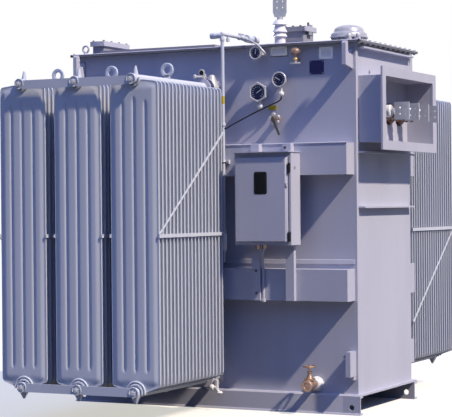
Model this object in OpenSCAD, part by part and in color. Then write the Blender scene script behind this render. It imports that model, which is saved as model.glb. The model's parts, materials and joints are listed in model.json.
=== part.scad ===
// Oil-filled power transformer with panel radiators, control cabinet and side throat boxes.
// Millimetres, +Z up, origin on the floor under the middle of the tank.
// X runs along the wide front face, Y from the front to the back.

/* [Tank] */
// length of the tank along X
tank_l = 2260; // [2000:10:2600]
// depth of the tank along Y
tank_w = 1050; // [900:10:1300]
// thickness of the tank wall sheets
wall_t = 10; // [6:1:16]
// height of the underside of the cover above the floor
tank_top = 2604; // [2400:4:2800]
// thickness of the cover plate
cover_t = 16; // [10:1:24]
// overhang of the cover past the walls
cover_over = 52; // [40:1:70]
// thickness of the floor plate
floor_t = 14; // [10:1:20]
// overhang of the floor plate past the walls
floor_over = 30; // [20:1:45]

/* [Skids] */
// height of the skid channels
skid_h = 130; // [100:5:160]
// width of the skid flanges
skid_flange = 50; // [40:1:70]
// thickness of the skid web
skid_web_t = 10; // [8:1:14]
// thickness of the skid flanges
skid_flange_t = 12; // [8:1:16]
// radius of the pulling holes
pull_r = 20; // [15:1:24]
// distance of the pulling holes from the skid ends
pull_in = 66; // [50:1:90]

/* [Stiffeners] */
// height of the stiffener bands
band_h = 222; // [180:2:260]
// depth of the stiffener bands
band_d = 135; // [100:1:150]
// height of the lower edge of the lower band
band_low_z = 798; // [760:1:830]
// height of the lower edge of the upper band
band_up_z = 1682; // [1660:1:1700]
// gap between the band ends and the tank corner
band_in = 20; // [10:1:40]
// depth of the flat ribs on the tank ends
rib_d = 50; // [40:1:60]
// thickness of the flat ribs
rib_t = 12; // [8:1:16]

/* [Radiators] */
// number of panels in a radiator
panel_n = 19; // [12:1:19]
// distance between panels
panel_pitch = 51; // [46:1:52]
// width of a panel
panel_w = 370; // [320:2:390]
// distance between neighbouring radiators
rad_pitch = 444; // [430:1:460]
// middle of the inner front radiator along X
rad_x = 20; // [0:1:30]
// distance from the tank wall to the first panel
rad_gap = 258; // [250:1:290]
// height of the lower panel shoulders
panel_z0 = 264; // [262:1:280]
// height of the upper panel shoulders
panel_z1 = 2282; // [2262:1:2292]
// radius of the header pipes
head_r = 34; // [30:1:40]
// height of the lower header axis
head_z0 = 232; // [226:1:240]
// height of the upper header axis
head_z1 = 2321; // [2312:1:2330]

/* [Cabinet] */
// width of the cabinet body
cab_w = 434; // [400:2:460]
// depth of the cabinet body
cab_d = 155; // [130:1:180]
// upper edge of the cabinet
cab_z1 = 1840; // [1820:1:1850]
// height of the cabinet
cab_h = 647; // [600:1:660]
// sheet thickness of the cabinet
cab_t = 4; // [2:1:6]
// middle of the cabinet along X
cab_x = 540; // [520:1:560]
// margin between the cabinet side and the door
door_in = 33; // [30:1:50]
// thickness of the door
door_t = 24; // [16:1:28]

/* [Throat boxes] */
// half width of the throat box
throat_y = 485; // [440:1:500]
// lower side of the throat box
throat_z0 = 1908; // [1900:1:1930]
// upper side of the throat box
throat_z1 = 2376; // [2300:1:2400]
// depth of the throat box with its flange
throat_d = 206; // [180:1:230]
// width of the flange outside the box
throat_rim = 56; // [34:1:70]

/* [Hidden] */
$fn = 48;
// gap between curved faces that touch
seat = 0.3;
hx = tank_l / 2;
hy = tank_w / 2;
floor_z = skid_h + floor_t;
cover_z = tank_top + cover_t;
band_y = hy + band_d;
skid_y = hy - 10;
skid_x = hx + floor_over;
stack_y0 = hy + rad_gap;
stack_y1 = stack_y0 + (panel_n - 1) * panel_pitch;
head_y0 = hy + 195;
head_y1 = stack_y1 + 36;
bar_z = (panel_z0 + panel_z1) / 2 + 1;
brace_t = 8;
// half height of the side bars, and the height that a brace climbs
bar_h = 12;
brace_rise = 0.77 * (stack_y1 - stack_y0);
jack_t = 36;
jack_x = hx - jack_t - 16;
jack_z = floor_z + 126;
cab_y = band_y;
cab_z0 = cab_z1 - cab_h;
door_w = cab_w - 2 * door_in;
door_x0 = cab_x - door_w / 2;
door_gap = 5;
door_y = cab_y + cab_d + door_gap;
hinge_r = 8;
hinge_x = door_x0 - hinge_r - 3;
hinge_y = door_y + hinge_r;
hinge_l = 60;
hinge_zs = [cab_z0 + 60, cab_z1 - 147];
pipe_x = rad_x + 150;
pipe_y = hy + 165;
pipe_r = 13;
pipe_z0 = cab_z0 + 89;
pipe_z1 = cover_z + 80;
arm_y = hy - 415;
drain_x = hx - 315;
drain_z = floor_z + 62;
wheel_y = hy + 128;
lever_x = cab_x - 16;
lever_z = band_up_z + band_h + 182;
neutral_x = hx - 709;
neutral_y = -hy + 275;
hatch_x = hx - 665;
hatch_y = -10;
dome_x = hx - 268;
// dial gauges on the front wall, placed from the cabinet and the cover
press_x = cab_x - 134;
press_z = tank_top - 38;
level_x = cab_x + 27;
level_z = tank_top - 239;
temp_x = cab_x - 142;
temp_z = tank_top - 320;
brass_x = cab_x + 156;
brass_z = tank_top - 121;
// route of the gauge cable from the plug under the level gauge to the upright pipe
cable_r = 5;
plug_y = -hy - 37;
plug = [level_x + 5, plug_y, level_z - 119 - seat];
pipe_end = [pipe_x + pipe_r + 0.5, -pipe_y, plug[2] - 222];
cable_pts = [
    plug, plug + [0, 0, -10],
    plug + [-8, -1, -24], plug + [-42, -6, -44],
    plug + [-126, -23, -80], pipe_end + [178.5, 80, 100],
    pipe_end + [97.5, 50, 56], pipe_end + [41.5, 22, 22],
    pipe_end + [18.5, 7, 6], pipe_end + [7.5, 0, 0.5],
    pipe_end
];

// box between two corners
module bx(x0, x1, y0, y1, z0, z1) {
    translate([x0, y0, z0]) cube([x1 - x0, y1 - y0, z1 - z0]);
}

// cylinder along X from x0 to x1
module cx(x0, x1, y, z, r) {
    translate([x0, y, z]) rotate([0, 90, 0]) cylinder(r = r, h = x1 - x0);
}

// cylinder along Y from y0 to y1
module cy(x, y0, y1, z, r) {
    translate([x, y1, z]) rotate([90, 0, 0]) cylinder(r = r, h = y1 - y0);
}

// cylinder along Z from z0 to z1
module cz(x, y, z0, z1, r) {
    translate([x, y, z0]) cylinder(r = r, h = z1 - z0);
}

// half turn about the middle of the tank
module back_side() {
    rotate([0, 0, 180]) children();
}

// skid channel with its flanges to the outside
module skid() {
    difference() {
        union() {
            bx(-skid_x, skid_x, -skid_y, -skid_y + skid_web_t, 0, skid_h);
            bx(-skid_x, skid_x, -skid_y - skid_flange, -skid_y, 0, skid_flange_t);
            bx(-skid_x, skid_x, -skid_y - skid_flange, -skid_y, skid_h - skid_flange_t, skid_h);
        }
        for (s = [-1, 1])
            cy(s * (skid_x - pull_in), -skid_y - 1, -skid_y + skid_web_t + 1, 52, pull_r);
    }
}

module skid_front() {
    color([0.62, 0.64, 0.72]) skid();
}

module skid_back() {
    color([0.62, 0.64, 0.72]) mirror([0, 1, 0]) skid();
}

module floor_plate() {
    color([0.62, 0.64, 0.72])
        bx(-hx - floor_over, hx + floor_over, -hy - floor_over, hy + floor_over, skid_h, floor_z);
}

module front_wall() {
    color([0.66, 0.68, 0.76]) bx(-hx, hx, -hy, -hy + wall_t, floor_z, tank_top);
}

module back_wall() {
    color([0.66, 0.68, 0.76]) bx(-hx, hx, hy - wall_t, hy, floor_z, tank_top);
}

module left_wall() {
    color([0.66, 0.68, 0.76])
        bx(-hx, -hx + wall_t, -hy + wall_t, hy - wall_t, floor_z, tank_top);
}

module right_wall() {
    color([0.66, 0.68, 0.76])
        bx(hx - wall_t, hx, -hy + wall_t, hy - wall_t, floor_z, tank_top);
}

module tank_cover() {
    color([0.66, 0.68, 0.76])
        bx(-hx - cover_over, hx + cover_over, -hy - cover_over, hy + cover_over, tank_top, cover_z);
}

// two deep closed bands on a long wall
module bands() {
    for (z = [band_low_z, band_up_z])
        bx(-hx + band_in, hx - band_in, -band_y, -hy, z, z + band_h);
}

module front_bands() {
    color([0.66, 0.68, 0.76]) bands();
}

module back_bands() {
    color([0.66, 0.68, 0.76]) mirror([0, 1, 0]) bands();
}

// flat bars across both tank ends
module end_ribs() {
    color([0.66, 0.68, 0.76])
        for (s = [0, 1])
            mirror([s, 0, 0])
                for (z = [tank_top - 24, tank_top - 758, tank_top - 1146])
                    bx(hx, hx + rib_d, -hy + 30, hy - 30, z - rib_t, z);
}

// hook plate open to the top, on the front wall
module hook() {
    translate([hx - 50, 0, 0]) rotate([90, 0, 90])
        linear_extrude(29)
            translate([-hy, tank_top])
                polygon([[0, -182], [-130, -160], [-130, -8], [-118, 6], [-90, 6],
                    [-84, -8], [-84, -64], [-60, -82], [-30, -74], [-24, -44], [0, -34]]);
}

module lifting_hooks() {
    color([0.66, 0.68, 0.76])
        for (a = [0, 1])
            for (b = [0, 1])
                mirror([a, 0, 0]) mirror([0, b, 0]) hook();
}

// stepped block low on the wall near the corner
module jack_plate() {
    bx(jack_x, jack_x + jack_t, -hy - 105, -hy, jack_z, jack_z + 176);
    bx(jack_x + jack_t - 18, jack_x + jack_t - 2, -hy - 40, -hy, jack_z - 27, jack_z);
}

// stud on the inner side of two of the brackets
module jack_stud() {
    cx(jack_x - 22, jack_x, -hy - 80, jack_z + 145, 12);
}

module jacking_brackets() {
    color([0.66, 0.68, 0.76])
        for (a = [0, 1])
            for (b = [0, 1])
                mirror([a, 0, 0]) mirror([0, b, 0]) jack_plate();
    color([0.66, 0.68, 0.76]) {
        jack_stud();
        back_side() jack_stud();
    }
}

flute_n = 4;
flute_edge = 9;
flute_w = (panel_w - 2 * flute_edge) / flute_n;
seam_h = 3.5;
crest_h = 11.5;
// upper side of the panel section, from the left edge to the right edge
function flute_side(s) = [for (i = [0 : flute_n - 1])
    for (q = [[3, seam_h], [12, crest_h], [flute_w - 12, crest_h], [flute_w - 3, seam_h]])
        [-panel_w / 2 + flute_edge + i * flute_w + q[0], s * q[1]]];
function flipped(v) = [for (i = [len(v) - 1 : -1 : 0]) v[i]];
panel_section = concat([[-panel_w / 2, -seam_h]], flute_side(-1), [[panel_w / 2, -seam_h]],
    [[panel_w / 2, seam_h]], flipped(flute_side(1)), [[-panel_w / 2, seam_h]]);
hw = panel_w / 2;
panel_r = 40;
gable = 28;
lug_w = 70;
// corner arc of the panel outline in five points
function arc(x, z, a0) = [for (i = [0 : 4])
    [x + panel_r * cos(a0 + 22.5 * i), z + panel_r * sin(a0 + 22.5 * i)]];
panel_outline = concat(
    arc(hw - panel_r, panel_z0 + panel_r, -90),
    arc(hw - panel_r, panel_z1 - panel_r, 0),
    [[lug_w, panel_z1 + gable], [-lug_w, panel_z1 + gable]],
    arc(-hw + panel_r, panel_z1 - panel_r, 90),
    arc(-hw + panel_r, panel_z0 + panel_r, 180),
    [[-lug_w, panel_z0 - gable], [lug_w, panel_z0 - gable]]);
crest_o = crest_h + 0.5;
panel_lens = [[-seam_h, panel_z0 - 40], [seam_h, panel_z0 - 40], [seam_h, panel_z0 + 60],
    [crest_o, panel_z0 + 130], [crest_o, panel_z1 - 130], [seam_h, panel_z1 - 60],
    [seam_h, panel_z1 + 40], [-seam_h, panel_z1 + 40], [-seam_h, panel_z1 - 60],
    [-crest_o, panel_z1 - 130], [-crest_o, panel_z0 + 130], [-seam_h, panel_z0 + 60]];

// one fluted oil panel standing on edge, in the plane Y = 0
module panel() {
    difference() {
        intersection() {
            translate([0, 0, panel_z0 - 40])
                linear_extrude(panel_z1 - panel_z0 + 80) polygon(panel_section);
            translate([0, 40, 0]) rotate([90, 0, 0]) linear_extrude(80) polygon(panel_outline);
            translate([-hw - 10, 0, 0]) rotate([90, 0, 90])
                linear_extrude(panel_w + 20) polygon(panel_lens);
        }
        for (z = [head_z0, head_z1])
            cy(0, -30, 30, z, head_r + seat);
    }
}

// a row of panels for one radiator with its middle at x
module stack(x) {
    for (i = [0 : panel_n - 1])
        translate([x, -stack_y0 - i * panel_pitch, 0]) panel();
}

module front_panels_1() {
    color([0.60, 0.63, 0.73]) stack(rad_x - 2 * rad_pitch);
}

module front_panels_2() {
    color([0.60, 0.63, 0.73]) stack(rad_x - rad_pitch);
}

module front_panels_3() {
    color([0.60, 0.63, 0.73]) stack(rad_x);
}

module back_panels_1() {
    color([0.60, 0.63, 0.73]) back_side() stack(rad_x - 2 * rad_pitch);
}

module back_panels_2() {
    color([0.60, 0.63, 0.73]) back_side() stack(rad_x - rad_pitch);
}

module back_panels_3() {
    color([0.60, 0.63, 0.73]) back_side() stack(rad_x);
}

// header pipe with a thicker end disc and a plug
module header(x, z) {
    cy(x, -head_y1, -head_y0, z, head_r);
    cy(x, -head_y1 - 8, -head_y1, z, head_r + 4);
    cy(x, -head_y1 - 22, -head_y1 - 8, z, 14);
    if (z > 1000)
        translate([x, -stack_y1 + 23, z]) cylinder(r1 = 26, r2 = 7, h = head_r + 57);
    else
        translate([x, -head_y1 + 24, z - head_r - 40]) cylinder(r1 = 8, r2 = 26, h = head_r + 40);
}

// upper and lower headers of the three radiators on one side
module headers() {
    for (i = [0 : 2])
        for (z = [head_z0, head_z1])
            header(rad_x - i * rad_pitch, z);
}

module front_headers() {
    color([0.60, 0.63, 0.73]) headers();
}

module back_headers() {
    color([0.60, 0.63, 0.73]) back_side() headers();
}

// shut-off valve between a header and the tank wall
module shut_valve(x, z, up) {
    cy(x, -head_y0, -head_y0 + 14, z, 62);
    cy(x, -head_y0 + 14, -head_y0 + 62, z, 50);
    cy(x, -head_y0 + 62, -head_y0 + 76, z, 62);
    cy(x, -head_y0 + 76, -hy - 14, z, head_r);
    cy(x, -hy - 14, -hy, z, 62);
    cz(x, -head_y0 + 38, up > 0 ? z : z - 66, up > 0 ? z + 66 : z, 9);
    bx(x - 10, x + 50, -head_y0 + 28, -head_y0 + 48, up > 0 ? z + 66 : z - 76, up > 0 ? z + 76 : z - 66);
}

module valves() {
    for (i = [0 : 2]) {
        shut_valve(rad_x - i * rad_pitch, head_z1, 1);
        shut_valve(rad_x - i * rad_pitch, head_z0, -1);
    }
}

module front_valves() {
    color([0.62, 0.64, 0.72]) valves();
}

module back_valves() {
    color([0.62, 0.64, 0.72]) back_side() valves();
}

// flat bars joining the outer header ends of one side
module ties() {
    difference() {
        for (z = [head_z0, head_z1 - 6])
            bx(rad_x - 2 * rad_pitch, rad_x, -head_y1 - 8, -head_y1, z - 30, z + 30);
        for (i = [0 : 2])
            for (z = [head_z0, head_z1])
                cy(rad_x - i * rad_pitch, -head_y1 - 10, -head_y1 + 2, z, head_r + 4 + seat);
    }
}

module tie_bars() {
    color([0.60, 0.63, 0.73]) {
        ties();
        back_side() ties();
    }
}

// flat bars along both sides of each stack at half height
module side_bars() {
    for (i = [0 : 2])
        for (s = [-1, 1])
            translate([rad_x - i * rad_pitch + s * (hw + 4), 0, bar_z])
                bx(-4, 4, -stack_y1 - 14, -stack_y0 + 14, -bar_h, bar_h);
}

module stack_bars() {
    color([0.60, 0.63, 0.73]) {
        side_bars();
        back_side() side_bars();
    }
}

// thin sloping bar on the panel edges, from the outer end of a side bar to the inner panel
module brace(x, s) {
    translate([x, 0, bar_z]) rotate([90, 0, 90])
        linear_extrude(brace_t)
            polygon([[-stack_y1 - 14, s * bar_h], [-stack_y1 + 2, s * bar_h],
                [-stack_y0 + 14, s * brace_rise], [-stack_y0 + 14, s * (brace_rise + 16)]]);
}

module side_braces() {
    brace(rad_x + hw, 1);
    brace(rad_x - 2 * rad_pitch - hw - brace_t, -1);
}

module braces() {
    color([0.60, 0.63, 0.73]) {
        side_braces();
        back_side() side_braces();
    }
}

// lifting ring with a foot on the middle of an upper header
module ring_eye(x, y) {
    eye_z = head_z1 + head_r + 56;
    difference() {
        union() {
            cy(x, y - 8, y + 8, eye_z, 50);
            bx(x - 24, x + 24, y - 8, y + 8, head_z1, eye_z - 30);
        }
        cy(x, y - 9, y + 9, eye_z, 24);
        cy(x, y - 20, y + 20, head_z1, head_r + seat);
    }
}

module eyes() {
    for (i = [0 : 2])
        ring_eye(rad_x - i * rad_pitch, -(stack_y0 + stack_y1) / 2);
}

module header_eyes() {
    color([0.60, 0.63, 0.73]) {
        eyes();
        back_side() eyes();
    }
}

// sheet of the throat box, thickness of its flange and width of the flange inside the box
sheet_t = 8;
flange_t = 14;
rail_in = 9;
// open box with a flange frame, on the right end
module throat() {
    difference() {
        union() {
            bx(hx, hx + throat_d, -throat_y, throat_y, throat_z0, throat_z1);
            bx(hx + throat_d - flange_t, hx + throat_d, -throat_y - throat_rim, throat_y + throat_rim,
                throat_z0 - throat_rim, throat_z1 + throat_rim);
        }
        bx(hx - 1, hx + throat_d - flange_t, -throat_y + sheet_t, throat_y - sheet_t,
            throat_z0 + sheet_t, throat_z1 - sheet_t);
        bx(hx, hx + throat_d + 1, -throat_y + rail_in, throat_y - rail_in,
            throat_z0 + rail_in, throat_z1 - rail_in);
    }
}

module lv_throat() {
    color([0.70, 0.72, 0.80]) throat();
}

module hv_throat() {
    color([0.70, 0.72, 0.80]) mirror([1, 0, 0]) throat();
}

lv_pitch = 200;
lv_z = 2130;
lv_reach = 190;
// round insulator with a terminal stud, lying along X
module lv_bushings() {
    color([0.45, 0.30, 0.24])
        for (i = [-1.5 : 1 : 1.5]) {
            cx(hx, hx + 20, i * lv_pitch, lv_z, 62);
            cx(hx + 20, hx + lv_reach - 20, i * lv_pitch, lv_z, 42);
            for (k = [0 : 2])
                cx(hx + 50 + 38 * k, hx + 62 + 38 * k, i * lv_pitch, lv_z, 54);
        }
}

// upright flat spades with bolt holes
module lv_spades() {
    color([0.72, 0.72, 0.74])
        for (i = [-1.5 : 1 : 1.5])
            translate([hx + lv_reach, i * lv_pitch, lv_z]) {
                cx(-20, 10, 0, 0, 22);
                difference() {
                    bx(10, 120, -6, 6, -62, 62);
                    for (a = [-1, 1])
                        for (b = [-1, 1])
                            cy(75 + a * 22.225, -10, 10, b * 22.225, 7);
                }
            }
}

// insulators with sheds and studs on the left end
module hv_bushings() {
    color([0.45, 0.30, 0.24])
        for (i = [-1 : 1]) {
            cx(-hx - 20, -hx, i * 300, lv_z, 60);
            cx(-hx - 150, -hx - 20, i * 300, lv_z, 34);
            for (k = [0 : 2])
                cx(-hx - 56 - k * 36, -hx - 44 - k * 36, i * 300, lv_z, 54);
            cx(-hx - 310, -hx - 150, i * 300, lv_z, 14);
        }
}

// hollow cabinet open to the front
module cabinet_body() {
    color([0.66, 0.68, 0.76])
        difference() {
            bx(cab_x - cab_w / 2, cab_x + cab_w / 2, -cab_y - cab_d, -cab_y, cab_z0, cab_z1);
            bx(cab_x - cab_w / 2 + cab_t, cab_x + cab_w / 2 - cab_t, -cab_y - cab_d + cab_t,
                -cab_y - cab_t, cab_z0 + cab_t, cab_z1 - cab_t);
            bx(door_x0 + 10, door_x0 + door_w - 10, -cab_y - cab_d - 1, -cab_y - cab_d + cab_t + 1,
                cab_z0 + 35, cab_z1 - 45);
        }
    color([0.66, 0.68, 0.76])
        for (z = hinge_zs)
            for (q = [z - 24 - seat, z + hinge_l + seat]) {
                cz(hinge_x, -hinge_y, q, q + 24, hinge_r);
                bx(hinge_x - hinge_r, hinge_x, -hinge_y, -cab_y - cab_d, q, q + 24);
            }
}

// drip hood over the door
module cabinet_hood() {
    color([0.66, 0.68, 0.76])
        bx(cab_x - cab_w / 2 - 6, cab_x + cab_w / 2 + 6, -door_y - door_t - 16, -cab_y,
            cab_z1, cab_z1 + 6);
}

// door with a window, a hasp and two knuckles on its left edge
module cabinet_door() {
    color([0.66, 0.68, 0.76])
        bx(door_x0, door_x0 + door_w, -door_y - door_t, -door_y, cab_z0 + 25, cab_z1 - 34);
    color([0.10, 0.11, 0.13])
        bx(cab_x - 50, cab_x + 50, -door_y - door_t - 4, -door_y - door_t, cab_z1 - 290, cab_z1 - 135);
    color([0.66, 0.68, 0.76])
        for (z = hinge_zs)
            union() {
                cz(hinge_x, -hinge_y, z, z + hinge_l, hinge_r);
                bx(hinge_x, door_x0 + 1, -hinge_y - 6, -hinge_y + 6, z, z + hinge_l);
            }
}

// hangers and straps holding the cabinet to the bands
module cabinet_straps() {
    color([0.66, 0.68, 0.76]) {
        for (x = [cab_x - 117, cab_x + 148])
            bx(x - 32, x + 32, -band_y - 36, -band_y, band_low_z, cab_z0);
        for (x = [cab_x - 108, cab_x + 140])
            bx(x - 32, x + 32, -band_y - 56, -band_y, cab_z1 + 6, band_up_z + band_h);
    }
}

// dial gauges on short stems
module dial(x, z, y_out, r) {
    cy(x, -hy - y_out, -hy - y_out + 40, z, r);
    cy(x, -hy - y_out + 40, -hy, z, 16);
}

module gauges() {
    color([0.12, 0.12, 0.14]) {
        dial(press_x, press_z, 120, 46);
        dial(level_x, level_z, 70, 54);
        translate([temp_x, -hy - 30, temp_z]) rotate([90, 30, 0]) cylinder(r = 67, h = 40, $fn = 6);
        cy(temp_x, -hy - 30, -hy, temp_z, 18);
        cz(plug[0], plug_y, plug[2] + seat, level_z - 40, 11);
        cz(temp_x + 6, plug_y, temp_z - 122, temp_z - 50, 11);
    }
}

// ring of tube points around one path point
function unit(v) = v / norm(v);
function tube_ring(p, d, r, n) =
    let (u = unit(cross(d, [0, 0.8, 0.6])), v = unit(cross(u, d)))
    [for (k = [0 : n - 1]) p + r * (cos(360 * k / n) * u + sin(360 * k / n) * v)];

// cable from the level gauge to the upright pipe
module gauge_cable() {
    n = 8;
    m = len(cable_pts);
    function dir(i) = cable_pts[min(i + 1, m - 1)] - cable_pts[max(i - 1, 0)];
    pts = [for (i = [0 : m - 1])
        for (q = tube_ring(cable_pts[i], dir(i), cable_r, n)) q];
    faces = concat([[for (k = [0 : n - 1]) k]],
        [for (i = [0 : m - 2])
            for (k = [0 : n - 1])
                [i * n + k, (i + 1) * n + k, (i + 1) * n + (k + 1) % n, i * n + (k + 1) % n]],
        [[for (k = [n - 1 : -1 : 0]) (m - 1) * n + k]]);
    color([0.08, 0.08, 0.09]) polyhedron(points = pts, faces = faces);
}

// brass valve under the cover edge
module brass_valve() {
    color([0.72, 0.58, 0.32]) {
        cy(brass_x, -hy - 45, -hy, brass_z, 14);
        cz(brass_x, -hy - 60, brass_z - 22, brass_z + 22, 21);
        cz(brass_x, -hy - 60, brass_z + 22, brass_z + 52, 13);
        cz(brass_x, -hy - 60, brass_z + 52, brass_z + 68, 24);
        intersection() {
            translate([brass_x, -hy - 60, brass_z + 66]) sphere(r = 36);
            cz(brass_x, -hy - 60, brass_z + 68, brass_z + 98, 36);
        }
    }
}

// small valve body with a stub to the wall
module small_valve() {
    color([0.45, 0.42, 0.36]) {
        cy(lever_x, -hy - 50, -hy, lever_z, 26);
        cy(lever_x, -hy - 60, -hy - 50, lever_z, 44);
    }
}

// flat lever that turns on the front of the small valve
module valve_lever() {
    color([0.40, 0.40, 0.42]) {
        cy(lever_x, -hy - 80, -hy - 60 - seat, lever_z, 16);
        translate([lever_x, -hy - 80, lever_z]) rotate([0, -22, 0]) bx(-10, 10, 0, 8, -128, 0);
    }
}

// brass drain valve with an outlet to the front
module drain_valve() {
    color([0.72, 0.58, 0.32]) {
        cy(drain_x, -hy - 14, -hy, drain_z, 50);
        cy(drain_x, -hy - 170, -hy - 14, drain_z, 24);
        cy(drain_x, -hy - 185, -hy - 170, drain_z, 32);
        cz(drain_x, -wheel_y, drain_z, drain_z + 70, 26);
        cz(drain_x, -wheel_y, drain_z + 70, drain_z + 133.7, 9);
    }
}

// handwheel of the drain valve
module drain_handwheel() {
    color([0.70, 0.56, 0.32])
        translate([drain_x, -wheel_y, drain_z + 124]) {
            difference() {
                union() {
                    rotate_extrude($fn = 48) translate([41, 8]) circle(r = 6, $fn = 24);
                    cz(0, 0, 0, 16, 16);
                    for (a = [0, 120, 240])
                        rotate([0, 0, a]) bx(0, 40, -5, 5, 4, 12);
                }
                cz(0, 0, -1, 10, 9 + seat);
            }
        }
}

// porcelain insulator with sheds
module neutral_bushing() {
    color([0.45, 0.30, 0.24])
        translate([neutral_x, neutral_y, cover_z]) {
            cylinder(r = 62, h = 22);
            cylinder(r = 41, h = 205);
            for (z = [84, 122, 174])
                translate([0, 0, z]) cylinder(r = 55, h = 12);
        }
}

// flat four-hole terminal on the insulator
module neutral_spade() {
    color([0.72, 0.72, 0.74])
        translate([neutral_x, neutral_y, cover_z + 205]) {
            cylinder(r = 22, h = 24);
            difference() {
                translate([0, 6, 0]) rotate([90, 0, 0]) linear_extrude(12)
                    polygon([[-40, 24], [40, 24], [54, 60], [54, 166], [-54, 166], [-54, 60]]);
                for (a = [-1, 1])
                    for (b = [-1, 1])
                        cy(a * 22.225, -10, 10, 116 + b * 22.225, 7);
            }
        }
}

// raised access boxes and a raised plate on the cover
module hand_holes() {
    color([0.62, 0.64, 0.72]) {
        bx(hatch_x - 75, hatch_x + 75, hatch_y - 90, hatch_y + 90, cover_z, cover_z + 134);
        bx(hatch_x - 85, hatch_x + 85, hatch_y - 100, hatch_y + 100, cover_z + 134, cover_z + 170);
        bx(hatch_x + 85, hatch_x + 97, hatch_y - 30, hatch_y + 30, cover_z + 110, cover_z + 186);
        bx(-hx + 64, -hx + 158, -hy + 88, hy - 610, cover_z, cover_z + 73);
        bx(-hx + 50, -hx + 172, -hy + 75, hy - 596, cover_z + 73, cover_z + 108);
        bx(-hx + 190, rad_x + 8, -hy - 8, hy + 8, cover_z, cover_z + 26);
    }
}

// polished pressure relief dome on a flange
module relief_dome() {
    color([0.80, 0.81, 0.83])
        translate([dome_x, 0, cover_z]) {
            cylinder(r = 112, h = 66);
            translate([0, 0, 66]) cylinder(r = 142, h = 16);
            translate([0, 0, 82]) cylinder(r = 130, h = 20);
            translate([0, 0, 102])
                intersection() {
                    translate([0, 0, -84]) sphere(r = 150);
                    translate([-200, -200, 0]) cube([400, 400, 200]);
                }
        }
}

// upright pipe with an arm over the cover and a fitting at its foot
module vent_pipe() {
    color([0.60, 0.63, 0.73]) {
        cz(pipe_x, -pipe_y, pipe_z0, pipe_z1, pipe_r);
        translate([pipe_x, -pipe_y, pipe_z1]) sphere(r = pipe_r);
        cy(pipe_x, -pipe_y, -arm_y, pipe_z1, pipe_r);
        cy(pipe_x, -arm_y - 190, -arm_y - 30, pipe_z1, 28);
        translate([pipe_x, -arm_y, pipe_z1]) sphere(r = pipe_r);
        cz(pipe_x, -arm_y, cover_z, pipe_z1, pipe_r);
        cz(pipe_x, -arm_y, cover_z, cover_z + 14, 45);
        cx(pipe_x - 90, pipe_x, -pipe_y, pipe_z1 - 10, 20);
        cz(pipe_x, -pipe_y, pipe_z0 - 132, pipe_z0, 20);
        cz(pipe_x, -pipe_y, pipe_z0 - 212, pipe_z0 - 132, 8);
        bx(pipe_x - 24, pipe_x + 40, -pipe_y + 8, -band_y, band_up_z + 88, band_up_z + 118);
    }
}

// eye bolt near the front left corner of the cover
module cover_eye() {
    color([0.62, 0.64, 0.72])
        translate([-hx + 58, -hy - 5, cover_z]) {
            cylinder(r = 18, h = 16);
            translate([0, 8, 44]) rotate([90, 0, 0])
                difference() {
                    cylinder(r = 32, h = 16);
                    translate([0, 0, -1]) cylinder(r = 16, h = 18);
                }
        }
}

skid_front();
skid_back();
floor_plate();
front_wall();
back_wall();
left_wall();
right_wall();
tank_cover();
front_bands();
back_bands();
end_ribs();
lifting_hooks();
jacking_brackets();
front_panels_1();
front_panels_2();
front_panels_3();
back_panels_1();
back_panels_2();
back_panels_3();
front_headers();
back_headers();
front_valves();
back_valves();
tie_bars();
stack_bars();
braces();
header_eyes();
lv_throat();
lv_bushings();
lv_spades();
hv_throat();
hv_bushings();
cabinet_body();
cabinet_hood();
cabinet_door();
cabinet_straps();
gauges();
gauge_cable();
brass_valve();
small_valve();
valve_lever();
drain_valve();
drain_handwheel();
neutral_bushing();
neutral_spade();
hand_holes();
relief_dome();
vent_pipe();
cover_eye();
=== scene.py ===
import json
import math

import bmesh
import bpy
import numpy as np
from mathutils import Matrix, Vector


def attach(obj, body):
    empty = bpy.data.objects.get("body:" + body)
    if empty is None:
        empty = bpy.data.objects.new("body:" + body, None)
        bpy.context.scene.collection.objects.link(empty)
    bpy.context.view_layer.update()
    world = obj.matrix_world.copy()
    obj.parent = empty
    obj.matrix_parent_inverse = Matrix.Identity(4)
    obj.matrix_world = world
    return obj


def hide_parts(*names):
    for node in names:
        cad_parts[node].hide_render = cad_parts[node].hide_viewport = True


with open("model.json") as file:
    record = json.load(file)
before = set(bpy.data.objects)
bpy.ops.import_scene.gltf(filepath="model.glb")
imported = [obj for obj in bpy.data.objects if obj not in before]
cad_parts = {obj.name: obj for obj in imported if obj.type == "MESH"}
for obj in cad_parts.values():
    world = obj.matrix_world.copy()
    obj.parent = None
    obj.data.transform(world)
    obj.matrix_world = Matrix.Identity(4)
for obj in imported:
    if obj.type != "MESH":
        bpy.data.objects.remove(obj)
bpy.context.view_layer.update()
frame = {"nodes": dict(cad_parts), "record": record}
nodes = frame["nodes"]

# Sizes are millimetres until a piece is put in the scene, in metres.
# HX and HY are half the tank's length and width, BAND_Y is where the front of the bands lies.
MM = 0.001
HX, HY = 1130.0, 525.0
TANK_TOP, COVER_Z, FLOOR_Z = 2604.0, 2620.0, 144.0
BAND_Y = 660.0
LEFT, RIGHT = (-1.0, 0.0, 0.0), (1.0, 0.0, 0.0)
FRONT, BACK = (0.0, -1.0, 0.0), (0.0, 1.0, 0.0)
UP, DOWN = (0.0, 0.0, 1.0), (0.0, 0.0, -1.0)

# Camera of the photograph: place in metres, turn from +Y towards -X, tilt, roll and focal length in pixels.
EYE = (5.6214, -11.4179, 1.4788)
YAW, TILT, ROLL = math.radians(26.863), math.radians(-0.133), math.radians(-0.503)
FOCAL_PX, IMAGE_W = 1680.09, 452
SENSOR_W, FAR_CLIP = 36.0, 200.0


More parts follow.
